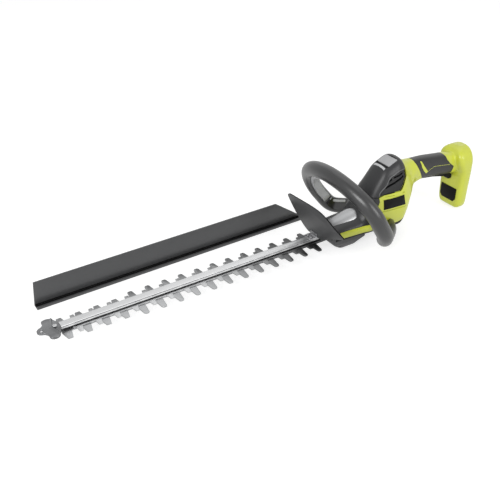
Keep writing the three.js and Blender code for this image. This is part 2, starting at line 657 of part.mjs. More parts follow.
const deckFront = -176; // where the flat deck on top of the motor cover starts
const topPlateFront = deckFront - 7;
const topPlateRear = deckFront - 29;
const topPlateHalf = 18;
const topSlope = (x) => 158.2 + ((deckFront - x) * 12.2) / 29;
const topPlateSide = (lift, x0, x1) => [
  [x0, topSlope(x0) + lift], [x1, topSlope(x1) + lift],
];
const plateRecess = profile([
  ...topPlateSide(-1.2, topPlateRear - gap, topPlateFront + gap),
  [topPlateFront + gap, 200], [topPlateRear - gap, 200],
], -topPlateHalf - gap, topPlateHalf + gap);
const coverShell = shellSolid.intersect(coverRegion(gap / 2));
const ventSlots = [0, 1, 2].flatMap((i) => [-1, 1].map((side) => profile([
  [-184 - 8 * i, 131 - 7 * i], [-216 + 4 * i, 140 - 7 * i], [-216 + 4 * i, 143.5 - 7 * i],
  [-184 - 8 * i, 134.5 - 7 * i],
], side > 0 ? topPlateHalf + 2 : -span, side > 0 ? span : -topPlateHalf - 2)));
add('motor_cover', cut(coverShell, plateRecess, ...ventSlots), charcoal);
add('cover_top_plate', profile([
  ...topPlateSide(gap - 1.2, topPlateRear, topPlateFront),
  ...topPlateSide(1.2, topPlateRear, topPlateFront).reverse(),
], -topPlateHalf, topPlateHalf), paleGrey);

// Grip sleeve: the soft skin round the grip, with a slot below for the trigger.
const sleeveEdge = (slack) => [
  [sleeveStart + slack, span], [sleeveStart + slack, 149], [sleeveStart - 34, 90 - slack],
  [footMid + 38, 80 - slack], [footMid + 31 - slack, 112], [footMid + 44 - slack, 122], [footMid + 53 - slack, 132],
  [footMid + 56 - slack, 142], [footMid + 56 - slack, span],
];
const sleeveRegion = profile(sleeveEdge(0), -span, span);
const triggerSlot = block(triggerTail - 3, pinX + 6, -triggerHalf - gap, triggerHalf + gap, pinZ - 47, pinZ + 3);
const gripCore = loft(stations.map((s) => bodyRing(s, gripSkin)));
const sleeveShell = cut(bodyOuter, gripCore).intersect(sleeveRegion);
add('grip_sleeve', cut(sleeveShell, footLoft(-gap), triggerSlot), softGrip);

// Inside the green shells: cradles for the motor, slots for the board, ribs for spring and switch.
const boardX = -216;
const boardHalf = 29;
const boardLow = 46;
const boardTop = 96;
const switchX = [-336, -304];
const switchHalf = 8;
const switchLow = 112;
const springX = -366;
const springTop = gripMid(springX) + 3;
const pinReach = 9;
const triggerPin = 1.8;
const sides = (x0, x1, y0, z0, z1) => join(block(x0, x1, y0, 60, z0, z1), block(x0, x1, -60, -y0, z0, z1));
const ribs = join(
  sides(pinX - 5, pinX + 5, triggerHalf + gap, pinZ - 5, pinZ + 5),
  sides(switchX[0], switchX[1], switchHalf + gap, switchLow + 3, switchLow + 8),
  cut(block(motorX - 9, motorX + 9, -60, 60, 80, 98), post(motorRadius + gap, motorX, 0, 70, 110, 32)),
  cut(block(boardX - 4, boardX + 4, -60, 60, boardLow, boardTop),
    block(boardX - 5, boardX + 5, 4 - boardHalf, boardHalf - 4, 0, 200),
    block(boardX - 0.8 - gap, boardX + 0.8 + gap, -boardHalf - gap, boardHalf + gap, 0, 200)),
  block(springX - 5, springX + 5, -40, 40, springTop, springTop + 3),
).intersect(envelope);
const sleeveRoom = cut(loft(stations.map((s) => bodyRing(s, -1))), loft(stations.map((s) => bodyRing(s, gripSkin + gap))))
  .intersect(profile(sleeveEdge(gap), -span, span));
const pocket = block(footMid - footDepth, footMid - footDepth / 2 + pocketDeep - 2, -pocketHalf - 2,
  pocketHalf + 2, pocketLow - 2, pocketTop + 2);
const deckLow = footLow + 10;
const deckHigh = pocketLow - 10;
const deckPocket = block(
  footMid - footDepth, footMid - footDepth / 2 + 9, 7 - socketHalf, socketHalf - 7, deckLow, deckHigh,
);
const deckWall = block(
  footMid - footDepth / 2 + 1, footMid - footDepth / 2 + 12, -socketHalf - 4, socketHalf + 4,
  deckLow - 4, deckHigh + 6,
).intersect(footLoft(0));
const underOpening = block(caseRear - 2, 0, -caseHalf - 1, caseHalf + 1, 0, 40);
const armX = -181;
const armZ = 43;
const armBolt = 2.5;
const armHeadY = 36;
const armHoles = crossRod(armBolt + gap, armX, armZ, -80, 80, 12);
const platePocket = (x0, x1, z0, z1) => join(
  ...[-1, 1].map((s) => block(x0, x1, s > 0 ? 30 : -60, s > 0 ? 60 : -30, z0, z1)),
);
const fullShell = cut(
  join(shellSolid, ribs, deckWall), coverRegion(-gap / 2), noseRegion(-gap / 2),
);
const dressed = cut(
  fullShell, sleeveRoom, triggerSlot, pocket, deckPocket, underOpening, armHoles, bossRoom, upperRoom,
  crossRod(triggerPin + gap / 3, pinX, pinZ, -pinReach - gap, pinReach + gap, 12),
);
const housingScrews = [[-200, 29, 20], [-232, 66, 18], [-268, 124, 9], [footMid, 140, 12]];
const wellDepth = 7; // how far the screw heads stay from the middle
const screwPosts = join(...housingScrews.map(([x, z]) => crossRod(4.4, x, z, -bodyHalf, bodyHalf, 10)))
  .intersect(envelope);
const screwBores = housingScrews.flatMap(([x, z, reach]) => [
  crossRod(screwRadius + gap, x, z, -60, reach + gap, 8),
  crossRod(screwHead + gap, x, z, -60, -wellDepth, 10),
]);
const clam = cut(join(dressed, cut(screwPosts, coverRegion(-gap / 2), noseRegion(-gap / 2), triggerSlot,
  pocket, deckPocket)), ...screwBores);
const halfBox = (side) => block(
  footMid - footDepth, caseFront + 2 * wall, side > 0 ? gap / 2 : -span, side > 0 ? span : -gap / 2, 0, 2 * span,
);
add('housing_left', clam.intersect(halfBox(1)), lime);
add('housing_right', clam.intersect(halfBox(-1)), lime);

housingScrews.forEach(([x, z, reach], i) => {
  const head = crossRod(screwHead, x, z, -wellDepth - 2.5, -wellDepth - gap, 10);
  const shank = crossRod(screwRadius, x, z, -wellDepth - 1, reach, 8);
  add(`housing_screw_${i + 1}`, join(head, shank), darkSteel);
});

// Bare plates where the tool carries its labels.
const namePoints = [[-158, 100.5], [-158, 79], [-217, 76.5], [-211, 100.5]];
const nameShell = cut(
  loft(stations.map((s) => bodyRing(s, -gap - 1))), loft(stations.map((s) => bodyRing(s, -gap))),
);
add('side_plate_left', nameShell.intersect(profile(namePoints, 20, 80)), black);
add('side_plate_right', nameShell.intersect(profile(namePoints, -80, -20)), black);
const footFace = footMid + footDepth / 2 + gap;
const labelShape = outline([[-23, 26], [-17, 19], [17, 19], [23, 26], [23, 52], [-23, 52]]);
const acrossX = (x) => new THREE.Matrix4().set(0, 0, 1, x, 1, 0, 0, 0, 0, 1, 0, 0, 0, 0, 0, 1);
const labelBody = new THREE.ExtrudeGeometry(labelShape, { depth: 1, bevelEnabled: false });
add('foot_plate', solid(labelBody.applyMatrix4(acrossX(footFace))), black);

// ---- Inside the housing ------------------------------------------------------------------------------------
add('control_board', block(
  boardX - 0.8, boardX + 0.8, -boardHalf, boardHalf, boardLow + 2, boardTop - 2,
), boardGreen);
const socketWall = 1.6;
const socketRear = footMid - footDepth / 2;
const socketFront = socketRear + pocketDeep - 2.4;
const socketOuter = block(socketRear + 0.5, socketFront, -pocketHalf - socketWall, pocketHalf + socketWall,
  pocketLow - socketWall, pocketTop + socketWall);
const socketInner = block(socketRear - 1, socketFront - socketWall, -pocketHalf, pocketHalf,
  pocketLow, pocketTop);
add('battery_socket', cut(socketOuter, socketInner), black);
const blockFront = socketFront - socketWall - gap;
const terminalBase = block(blockFront - 3, blockFront, -14, 14, 104, 118);
const terminals = [-9, 0, 9].map((y) => block(blockFront - 13, blockFront - 2, y - 0.6, y + 0.6, 107, 115));
add('terminal_block', join(terminalBase, ...terminals), copper);

// ---- Rear trigger and switch ----------------------------------------------------------------------------------
const triggerOutline = [
  [pinX + 4.5, pinZ + 1], [pinX + 4, pinZ - 6], [pinX - 6, 99], [-330, 94], [-366, 85.5], [-377, 80],
  [-381, 75], [triggerTail, 75.5], [triggerTail - 0.5, 84], [-382, 91], [-360, 96.5], [-320, 103.5],
  [pinX, pinZ + 4],
];
const triggerBody = profile(triggerOutline, -triggerHalf, triggerHalf);
const triggerBore = crossRod(triggerPin + runGap, pinX, pinZ, -20, 20, 12);
add('rear_trigger', cut(triggerBody, triggerBore), black);
add('trigger_pin', crossRod(triggerPin, pinX, pinZ, -pinReach, pinReach, 12), steel);
add('rear_switch', block(switchX[0], switchX[1], -switchHalf, switchHalf, switchLow, switchLow + 12), black);

const coilSteps = 6;

// A coil of round wire, drawn along a helix from `from` to `to`.
function coil(from, to, radius, wire, turns) {
  const axis = to.clone().sub(from);
  const length = axis.length();
  const facing = new THREE.Quaternion().setFromUnitVectors(new THREE.Vector3(0, 0, 1), axis.normalize());
  const steps = turns * coilSteps;
  const rings = [];
  for (let i = 0; i <= steps; i += 1) {
    const angle = (i / coilSteps) * 2 * Math.PI;
    const rise = wire + ((length - 2 * wire) * i) / steps;
    const ringPoints = [];
    for (let k = 0; k < 4; k += 1) {
      const around = (k / 4) * 2 * Math.PI;
      const reach = radius + wire * Math.cos(around);
      const point = new THREE.Vector3(
        reach * Math.cos(angle), reach * Math.sin(angle), rise + wire * Math.sin(around),
      );
      ringPoints.push(point.applyQuaternion(facing).add(from));
    }
    rings.push(ringPoints);
  }
  return loft(rings);
}
const springSeat = 96.2;
add('trigger_spring', coil(
  new THREE.Vector3(springX, 0, springSeat + gap), new THREE.Vector3(springX, 0, springTop - gap),
  3.2, 0.6, 5,
), steel);

// ---- Front handle ---------------------------------------------------------------------------------------------
const loopFootX = -116;
const loopFootZ = 45.5;
const loopX = (z) => loopFootX + loopLean * (z - loopFootZ);
const leftSide = [
  [-184, 27, 34], [-161, 59, 40], [-125, 88, 44], [loopX(65) - 3, 105.5, 65], [loopX(90), 110, 90],
  [loopX(117), 106.5, 117], [loopX(143), 88, 143], [loopX(163), 50, 163],
];
const loopTopZ = 171;
const loopPoints = [
  ...leftSide, [loopX(loopTopZ), 0, loopTopZ], ...[...leftSide].reverse().map(([x, y, z]) => [x, -y, z]),
].map((p) => new THREE.Vector3(...p));
const loopCurve = new THREE.CatmullRomCurve3(loopPoints, false, 'centripetal');
const loopNormal = new THREE.Vector3(1, 0, -loopLean).normalize();
const loopUp = new THREE.Vector3(loopLean, 0, 1).normalize();

// Rings along the loop at shares of its length; each section point is (inwards, forwards).
const evenly = (from, to, steps) => Array.from({ length: steps + 1 }, (_, i) => from + ((to - from) * i) / steps);
function alongLoop(shares, section) {
  const rings = [];
  for (const share of shares) {
    const at = loopCurve.getPointAt(share);
    const tangent = loopCurve.getTangentAt(share);
    const inward = new THREE.Vector3().crossVectors(loopNormal, tangent).normalize();
    const forward = new THREE.Vector3().crossVectors(tangent, inward);
    rings.push(section.map(([u, v]) => at.clone().addScaledVector(inward, u).addScaledVector(forward, v)));
  }
  return loft(rings);
}
const roundSection = (radius, count) => Array.from({ length: count }, (_, i) => {
  const angle = ((i + 0.5) / count) * 2 * Math.PI;
  return [radius * Math.cos(angle), radius * Math.sin(angle)];
});
const leverIn = tubeRadius + 4;
const leverOut = tubeRadius - 6;
const leverHalf = 8.5;
const leverEnd = 0.165; // share of the loop's length where the lever starts
const barSectionOf = (out, inner, half) => [[out, -half], [inner, -half], [inner, half], [out, half]];
const leverShares = evenly(leverEnd, 1 - leverEnd, 26);
const leverBody = alongLoop(leverShares, barSectionOf(leverOut, leverIn, leverHalf));
const leverRoom = alongLoop([leverEnd - 0.012, ...leverShares, 1.012 - leverEnd], barSectionOf(
  leverOut - leverTravel - 2 * gap, leverIn + 6, leverHalf + gap,
));
const tubeInner = tubeRadius - tubeWall;
const tube = alongLoop(evenly(0, 1, 28), roundSection(tubeRadius, 12));
const tubeHollow = alongLoop(evenly(0.1, 0.9, 20), roundSection(tubeInner, 8));
const bodyGrown = loft(stations.map((s) => bodyRing(s, -gap)));
const armY = 52;
const armUnder = 22.5; // the arms are planed flat below, level with the body's underside
const armScrewHoles = crossRod(armBolt + gap, armX, armZ, -armY - gap, armY + gap, 12);
const along = (share) => {
  const at = loopCurve.getPointAt(share);
  const tangent = loopCurve.getTangentAt(share);
  return { at, tangent, inward: new THREE.Vector3().crossVectors(loopNormal, tangent).normalize() };
};
const switchThick = 6.5;
const switchAt = along(0.43);
const switchBasis = new THREE.Matrix4().makeBasis(switchAt.tangent, switchAt.inward, loopNormal);
switchBasis.setPosition(switchAt.at.clone().addScaledVector(switchAt.inward, -1.6));
const ribDeep = 10;
const switchRib = solid(new THREE.BoxGeometry(8, 8, ribDeep)
  .translate(0, 0, -switchThick / 2 - gap - ribDeep / 2).applyMatrix4(switchBasis));
const pressed = loopUp.clone().multiplyScalar(leverTravel);
const roomPressed = [0.25, 0.5, 0.75, 1].map((t) => leverRoom.translate(pressed.clone().multiplyScalar(t).toArray()));
const armFlat = block(armX - 50, armX + 90, -span, span, 0, armUnder);
const handle = cut(
  join(cut(tube, tubeHollow), switchRib), leverRoom, ...roomPressed, bodyGrown, armScrewHoles, armFlat,
);
const far = 400;
const towards = (forward) => {
  const slabBox = block(0, far, -far, far, -far, far);
  const turn = new THREE.Matrix4().makeBasis(
    loopNormal.clone().multiplyScalar(forward), new THREE.Vector3(0, 1, 0), loopUp.clone().multiplyScalar(forward),
  );
  const origin = new THREE.Vector3(loopFootX, 0, loopFootZ).addScaledVector(loopNormal, forward * gap / 2);
  turn.setPosition(origin);
  return slabBox.transform(turn.elements);
};
add('front_handle_front', handle.intersect(towards(1)), handleGrey);
add('front_handle_rear', handle.intersect(towards(-1)), handleGrey);
add('front_switch_lever', leverBody, paleGrey);

const apex = along(0.5);
add('front_lever_spring', coil(
  apex.at.clone().addScaledVector(apex.inward, leverOut - gap),
  apex.at.clone().addScaledVector(apex.inward, 2.2 - tubeInner), 3.4, 0.6, 4,
), steel);
const microSwitch = new THREE.BoxGeometry(13, 13, switchThick);
add('front_switch', solid(microSwitch.applyMatrix4(switchBasis)), black);
for (const [name, side] of [['arm_screw_left', 1], ['arm_screw_right', -1]]) {
  const ends = (y0, y1) => (side > 0 ? [y0, y1] : [-y1, -y0]);
  const headAt = armHeadY;
  add(name, join(
    crossRod(armBolt + 2.2, armX, armZ, ...ends(headAt - 3, headAt), 12),
    crossRod(armBolt, armX, armZ, ...ends(headAt - 1, armY), 12),
  ), steel);
}

// ---- Hand guard and its bracket ------------------------------------------------------------------------------
const guardFoot = barTop + gap;
const guardTop = 104;
const guardReach = 97;
const guardShape = new THREE.Shape();
guardShape.moveTo(-guardReach, 93);
guardShape.quadraticCurveTo(-guardReach - 1, 99, 11 - guardReach, 100);
guardShape.bezierCurveTo(-60, 101, -30, guardTop, -5, guardTop);
guardShape.bezierCurveTo(22, guardTop, 36, 98, 52, 92);
guardShape.bezierCurveTo(66, 87, 76, 84, guardReach - 10, 82);
guardShape.quadraticCurveTo(guardReach - 4, 80, guardReach - 10, 76);
guardShape.bezierCurveTo(76, 71, 60, 65, 46, 57);
guardShape.bezierCurveTo(36, 51, 27, guardFoot, 18, guardFoot);
guardShape.lineTo(-14, guardFoot);
guardShape.bezierCurveTo(-28, guardFoot, -40, 51, -52, 58);
guardShape.bezierCurveTo(-66, 66, -84, 80, -guardReach, 93);
const guardGeometry = new THREE.ExtrudeGeometry(guardShape, {
  depth: guardThick, bevelEnabled: false, curveSegments: 6,
});
const guardBody = solid(guardGeometry.applyMatrix4(acrossX(guardX - guardThick / 2)));
const guardFlange = block(guardX - 20, guardX, -14, 14, guardFoot, guardFoot + guardThick);
const guardWeb = profile([
  [guardX - 18, guardFoot + 1], [guardX, guardFoot + 1], [guardX, guardFoot + 22],
], -1.5, 1.5);
add('hand_guard', join(guardBody, guardFlange, guardWeb), charcoal);
const strapThick = 2;
const strapRear = guardX + guardThick / 2 + gap;
const strapFoot = block(strapRear, bracketX + 7, -11, 11, guardFoot, guardFoot + strapThick);
const strapUpright = block(strapRear, strapRear + strapThick, -11, 11, guardFoot, guardFoot + 9);
const strapHoles = [-1, 1].map((s) => (
  post(bracketBolt + gap, bracketX, s * bracketBoltY, guardFoot - 1, guardFoot + 5, 10)));
add('guard_bracket', cut(join(strapFoot, strapUpright), ...strapHoles), steel);
[-1, 1].forEach((s, i) => {
  const headLow = guardFoot + strapThick + gap;
  add(`guard_bolt_${i + 1}`, join(
    post(3.6, bracketX, s * bracketBoltY, headLow, headLow + 2.8, 8),
    post(bracketBolt, bracketX, s * bracketBoltY, barBed + 2 + gap, headLow + 1, 8),
  ), steel);
});

// ---- Debris sweep ---------------------------------------------------------------------------------------------
const sweepLean = 0.29; // the upright leans this far per millimetre of height
const sweepThick = 2.6;
const lipReach = 17;
const sweepSection = [
  [sweepFoot, 0], [sweepFoot + lipReach, 0], [sweepFoot + lipReach + 0.5, 6.2],
  [sweepFoot + lipReach - 2.2, 6.6], [sweepFoot + lipReach - 3, 2.6], [sweepFoot + 4, 2.6],
  [sweepFoot + 2 + sweepThick, 6], [sweepFoot + sweepTop * sweepLean + sweepThick, sweepTop],
  [sweepFoot + sweepTop * sweepLean, sweepTop], [sweepFoot, 3],
];
const sweepBody = solid(new THREE.ExtrudeGeometry(outline(sweepSection), {
  depth: sweepFront - sweepLipRear, bevelEnabled: false,
}).applyMatrix4(acrossX(sweepLipRear)));
const sweepSide = profile([
  [sweepLipRear, -1], [sweepFront, -1], [sweepFront, 90], [sweepTopRear + 10, 90],
  [sweepTopRear, sweepTop], [sweepLipRear, 6],
], -200, 0);
add('debris_sweep', sweepBody.intersect(sweepSide).translate([-sweepFront, -sweepFoot, 0])
  .rotate([0, 0, sweepYaw]).translate([sweepFront, sweepFoot, 0]), charcoal);
// The frame's origin is the middle of the gear case's foot.
group.position.x = -(footRear + footFront) / 2;
export default group;
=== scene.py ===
import bpy
import math
from mathutils import Matrix, Vector


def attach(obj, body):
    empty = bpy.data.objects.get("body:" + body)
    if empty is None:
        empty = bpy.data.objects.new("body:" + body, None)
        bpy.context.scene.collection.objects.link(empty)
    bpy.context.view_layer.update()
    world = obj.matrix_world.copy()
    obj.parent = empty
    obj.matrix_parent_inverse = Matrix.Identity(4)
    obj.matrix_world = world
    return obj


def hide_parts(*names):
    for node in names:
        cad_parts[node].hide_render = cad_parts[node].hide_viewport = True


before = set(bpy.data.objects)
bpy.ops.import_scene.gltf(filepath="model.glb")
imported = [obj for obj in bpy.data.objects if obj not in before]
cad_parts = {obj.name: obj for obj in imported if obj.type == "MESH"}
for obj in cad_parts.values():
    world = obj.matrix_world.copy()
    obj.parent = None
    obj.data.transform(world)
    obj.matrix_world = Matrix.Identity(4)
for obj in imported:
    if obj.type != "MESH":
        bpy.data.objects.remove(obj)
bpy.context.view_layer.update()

# ---- Camera ------------------------------------------------------------------------------------
# A product view from the front left and from above, with the tip of the blades nearest to the
# eye and the foot farthest from it. The lens is a little longer than a normal one.
toward_eye = Vector((0.45676, 0.71204, 0.53278)).normalized()
rightward = Vector((0, 0, 1)).cross(toward_eye).normalized()
eye_place = (0.89118, 1.02896, 0.83119)
lens_length = 53.6
far_clip = 40
camera = bpy.data.objects.new("hedge_view", bpy.data.cameras.new("hedge_view"))
bpy.context.collection.objects.link(camera)
camera.data.lens = lens_length
camera.data.clip_end = far_clip
eye_turn = Matrix((rightward, toward_eye.cross(rightward), toward_eye)).transposed()
camera.matrix_world = eye_turn.to_4x4()
camera.matrix_world.translation = eye_place
bpy.context.scene.camera = camera
bpy.context.scene.view_settings.view_transform = "Standard"

# ---- Floor, room and lamps ---------------------------------------------------------------------
# A sheet of pale paper lies under the tool, in a white room with four wide soft lamps. Paper and
# room are white to the eye and in gloss and glass, and throw a weaker light on the tool.
MM = 0.001
white = (1, 1, 1, 1)
paper_grey = (0.62, 0.62, 0.62, 1)
paper_roughness = 0.9
paper_gloss = 0.1
paper_glow = 0.66
paper_width = 16
room_light = 0.36


# Whether a ray comes straight from the eye, or by way of gloss or clear glass.
def seen_white(tree):
    ray = tree.nodes.new("ShaderNodeLightPath")
    share = ray.outputs["Is Camera Ray"]
    for way in ("Is Glossy Ray", "Is Transmission Ray"):
        either = tree.nodes.new("ShaderNodeMath")
        either.operation = "MAXIMUM"
        tree.links.new(share, either.inputs[0])
        tree.links.new(ray.outputs[way], either.inputs[1])
        share = either.outputs[0]
    return share


floor_paper = bpy.data.materials.new("floor_paper")
floor_paper.use_nodes = True
tree = floor_paper.node_tree
paper = tree.nodes["Principled BSDF"]
paper.inputs["Base Color"].default_value = paper_grey
paper.inputs["Roughness"].default_value = paper_roughness
paper.inputs["Specular IOR Level"].default_value = paper_gloss
paper.inputs["Emission Color"].default_value = white
glow = tree.nodes.new("ShaderNodeMath")
glow.operation = "MULTIPLY"
glow.inputs[1].default_value = paper_glow
tree.links.new(seen_white(tree), glow.inputs[0])
tree.links.new(glow.outputs[0], paper.inputs["Emission Strength"])
bpy.ops.object.select_all(action="DESELECT")
bpy.ops.mesh.primitive_plane_add(size=paper_width, location=(0, 0, -0.5 * MM))
floor = bpy.context.object
floor.name = "floor"
floor.data.materials.append(floor_paper)

world = bpy.data.worlds.new("white_room")
bpy.context.scene.world = world
world.use_nodes = True
tree = world.node_tree
room = tree.nodes["Background"]
room.inputs["Color"].default_value = white
level = tree.nodes.new("ShaderNodeMapRange")
level.inputs["To Min"].default_value = room_light
level.inputs["To Max"].default_value = 1.0
tree.links.new(seen_white(tree), level.inputs["Value"])
tree.links.new(level.outputs["Result"], room.inputs["Strength"])


def lamp(name, place, aim, size, power):
    light = bpy.data.lights.new(name, "AREA")
    light.shape = "RECTANGLE"
    light.size, light.size_y = size
    light.energy = power
    holder = bpy.data.objects.new(name, light)
    bpy.context.collection.objects.link(holder)
    holder.location = place
    facing = (Vector(aim) - Vector(place)).to_track_quat("-Z", "Y")
    holder.rotation_euler = facing.to_euler()


lamp("lamp_overhead", place=(-0.5, -0.6, 2.2), aim=(0.1, 0, 0), size=(2.2, 1.4), power=7)
lamp("lamp_behind", place=(-1.2, -1.8, 1.3), aim=(0, 0, 0.1), size=(2.4, 1.2), power=3)
lamp("lamp_front", place=(2.2, 1.4, 1.5), aim=(0.1, 0, 0.05), size=(1.6, 1.2), power=46)
lamp("lamp_side", place=(-0.9, 2.2, 1.1), aim=(-0.1, 0, 0.1), size=(1.2, 1.2), power=20)

# ---- Guide bar ---------------------------------------------------------------------------------
# The long bar is an aluminium extrusion, drawn and left satin, with a raised flat along its back.
# Along each side lie three thin strips of painted light: painted shade for a groove, a band
# painted paler as a highlight, and painted shadow for the gap over the blades. Its solid only has
# its edges eased.
weld_gap = 0.000005
flat_within = 0.6
corner_from = 28
smooth_below = 36
relief_depth = 0.0002
near_body_from = 0.06


# A shader group for a surface pattern, which puts out colour, roughness and relief.
def pattern_group(name, inputs):
    tree = bpy.data.node_groups.new(name, "ShaderNodeTree")
    for label, value in inputs.items():
        kind = "NodeSocketColor" if label == "Base" else "NodeSocketFloat"
        socket = tree.interface.new_socket(label, in_out="INPUT", socket_type=kind)
        socket.default_value = value
    for label in ("Color", "Roughness", "Height"):
        kind = "NodeSocketColor" if label == "Color" else "NodeSocketFloat"
        tree.interface.new_socket(label, in_out="OUTPUT", socket_type=kind)
    return tree, tree.nodes.new("NodeGroupInput"), tree.nodes.new("NodeGroupOutput")


# Gives a socket a plain number, or a link where the value comes from another node.
def feed(tree, value, socket):
    if isinstance(value, (int, float)):
        socket.default_value = value
    else:
        tree.links.new(value, socket)


def noise_in(tree, scale, detail, stretch=(1, 1, 1)):
    where = tree.nodes.new("ShaderNodeTexCoord")
    mapping = tree.nodes.new("ShaderNodeMapping")
    mapping.inputs["Scale"].default_value = stretch
    tree.links.new(where.outputs["Object"], mapping.inputs["Vector"])
    noise = tree.nodes.new("ShaderNodeTexNoise")
    feed(tree, scale, noise.inputs["Scale"])
    noise.inputs["Detail"].default_value = detail
    tree.links.new(mapping.outputs["Vector"], noise.inputs["Vector"])
    return noise.outputs["Fac"]


def math_in(tree, operation, *values):
    node = tree.nodes.new("ShaderNodeMath")
    node.operation = operation
    for value, socket in zip(values, node.inputs):
        feed(tree, value, socket)
    return node.outputs[0]


# A level that a noise moves up and down by a share of its own swing.
def swayed(tree, level, noise, share):
    return math_in(tree, "MULTIPLY_ADD", math_in(tree, "SUBTRACT", noise, 0.5), share, level)


def tint_base(tree, start, end, strength):
    tint = tree.nodes.new("ShaderNodeVectorMath")
    tint.operation = "SCALE"
    tree.links.new(start.outputs["Base"], tint.inputs[0])
    tree.links.new(strength, tint.inputs["Scale"])
    tree.links.new(tint.outputs[0], end.inputs["Color"])


# Drawn metal: fine lines along X, faint smears of oil, and a painted shade that darkens it
# towards the body, standing in for the dark body mirrored in the metal.
drawn, start, end = pattern_group("drawn_metal", {
    "Base": (0.5, 0.5, 0.5, 1), "Roughness": 0.35, "Smear": 0.2, "Line": 0.1, "Painted Shade": 0.0,
    "Painted Shade End": 0.15})
lines = noise_in(drawn, scale=900, detail=3, stretch=(0.012, 1, 1))
smears = noise_in(drawn, scale=26, detail=4, stretch=(0.5, 1, 1))
lined = swayed(drawn, 1.0, lines, start.outputs["Line"])
smeared = swayed(drawn, lined, smears, start.outputs["Smear"])
place = drawn.nodes.new("ShaderNodeTexCoord")
along = drawn.nodes.new("ShaderNodeSeparateXYZ")
drawn.links.new(place.outputs["Object"], along.inputs[0])
clear_of_body = drawn.nodes.new("ShaderNodeMapRange")
clear_of_body.interpolation_type = "SMOOTHSTEP"
clear_of_body.inputs["From Min"].default_value = near_body_from
drawn.links.new(along.outputs["X"], clear_of_body.inputs["Value"])
drawn.links.new(start.outputs["Painted Shade End"], clear_of_body.inputs["From Max"])
near_body = math_in(drawn, "SUBTRACT", 1.0, clear_of_body.outputs["Result"])
painted_shade = math_in(drawn, "MULTIPLY", near_body, start.outputs["Painted Shade"])
unshaded = math_in(drawn, "SUBTRACT", 1.0, painted_shade)
tint_base(drawn, start, end, math_in(drawn, "MULTIPLY", smeared, unshaded))
dulled = swayed(drawn, start.outputs["Roughness"], smears, 0.3)
drawn.links.new(dulled, end.inputs["Roughness"])
drawn.links.new(lines, end.inputs["Height"])


# A material whose colour, roughness and relief come from a pattern group.
def patterned(name, group, bump, settings):
    material = bpy.data.materials.new(name)
    material.use_nodes = True
    tree = material.node_tree
    shader = tree.nodes["Principled BSDF"]
    pattern = tree.nodes.new("ShaderNodeGroup")
    pattern.node_tree = group
    for label, value in settings.items():
        pattern.inputs[label].default_value = value
    tree.links.new(pattern.outputs["Color"], shader.inputs["Base Color"])
    tree.links.new(pattern.outputs["Roughness"], shader.inputs["Roughness"])
    relief = tree.nodes.new("ShaderNodeBump")
    relief.inputs["Strength"].default_value = bump
    relief.inputs["Distance"].default_value = relief_depth
    tree.links.new(pattern.outputs["Height"], relief.inputs["Height"])
    tree.links.new(relief.outputs["Normal"], shader.inputs["Normal"])
    return material, shader


# A finish can carry painted shade that darkens the metal towards the body, as strong and as far
# as its last two settings say.
def metal_finish(name, colour, roughness, smear=0.2, line=0.1, bump=0.05, painted_shade=0.0, reach=0.15):
    material, shader = patterned(name, drawn, bump, {
        "Base": (*colour, 1), "Roughness": roughness, "Smear": smear, "Line": line,
        "Painted Shade": painted_shade, "Painted Shade End": reach})
    shader.inputs["Metallic"].default_value = 1.0
    return material


# Picks out one object alone, ready for an operator.
def pick(piece):
    bpy.ops.object.select_all(action="DESELECT")
    bpy.context.view_layer.objects.active = piece
    piece.select_set(True)


def copied(source, name):
    piece = source.copy()
    piece.data = source.data.copy()
    piece.name = name
    bpy.context.collection.objects.link(piece)
    return piece


# Gives the picked piece a modifier and applies it.
def worked(piece, kind, **settings):
    change = piece.modifiers.new(kind.lower(), kind)
    for setting, value in settings.items():
        setattr(change, setting, value)
    bpy.ops.object.modifier_apply(modifier=change.name)


# Takes a copy of a solid and welds its loose triangles, into whole faces where they are flat.
def welded(node, ending, whole_faces):
    piece = copied(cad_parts[node], node + ending)
    pick(piece)
    bpy.ops.object.mode_set(mode="EDIT")
    bpy.ops.mesh.select_all(action="SELECT")
    bpy.ops.mesh.remove_doubles(threshold=weld_gap)
    if whole_faces:
        bpy.ops.mesh.dissolve_limited(angle_limit=math.radians(flat_within))
    bpy.ops.object.mode_set(mode="OBJECT")
    return piece


# Gives a piece its material and its body, and hides the solids that it stands for.
def fit(piece, material, body, slot, *nodes):
    piece.data.materials.clear()
    piece.data.materials.append(material)
    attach(piece, body)
    if nodes:
        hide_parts(*nodes)


# A copy of a solid with its sharp edges eased by a width in millimetres.
def eased(node, body, slot, material, width, segments=2):
    piece = welded(node, "_eased", whole_faces=True)
    worked(piece, "BEVEL", width=width * MM, segments=segments, limit_method="ANGLE",
           angle_limit=math.radians(corner_from))
    bpy.ops.object.shade_smooth_by_angle(angle=math.radians(smooth_below))
    fit(piece, material, body, slot, node)
    return piece


# Skins a closed form over rings of points: a ring is laid down, drawn out once for each section,
# and its points are set to that section. Forms are worked in millimetres until they are finished.
def skinned(name, rings):
    bpy.ops.object.select_all(action="DESELECT")
    bpy.ops.mesh.primitive_circle_add(vertices=len(rings[0]), radius=1, fill_type="NGON")
    piece = bpy.context.object
    piece.name = name
    bpy.ops.object.mode_set(mode="EDIT")
    for _ in rings[1:]:
        bpy.ops.mesh.extrude_region_move(TRANSFORM_OT_translate={"value": (0, 0, 1)})
    bpy.ops.object.mode_set(mode="OBJECT")
    piece.data.vertices.foreach_set("co", [c for ring in rings for spot in ring for c in spot])
    bpy.ops.object.mode_set(mode="EDIT")
    bpy.ops.mesh.select_all(action="SELECT")
    bpy.ops.mesh.normals_make_consistent(inside=False)
    bpy.ops.object.mode_set(mode="OBJECT")
    return piece


def finish_form(piece, material, body, slot, *nodes, angle=32):
    piece.data.transform(Matrix.Scale(MM, 4))
    pick(piece)
    bpy.ops.object.shade_smooth_by_angle(angle=math.radians(angle))
    fit(piece, material, body, slot, *nodes)
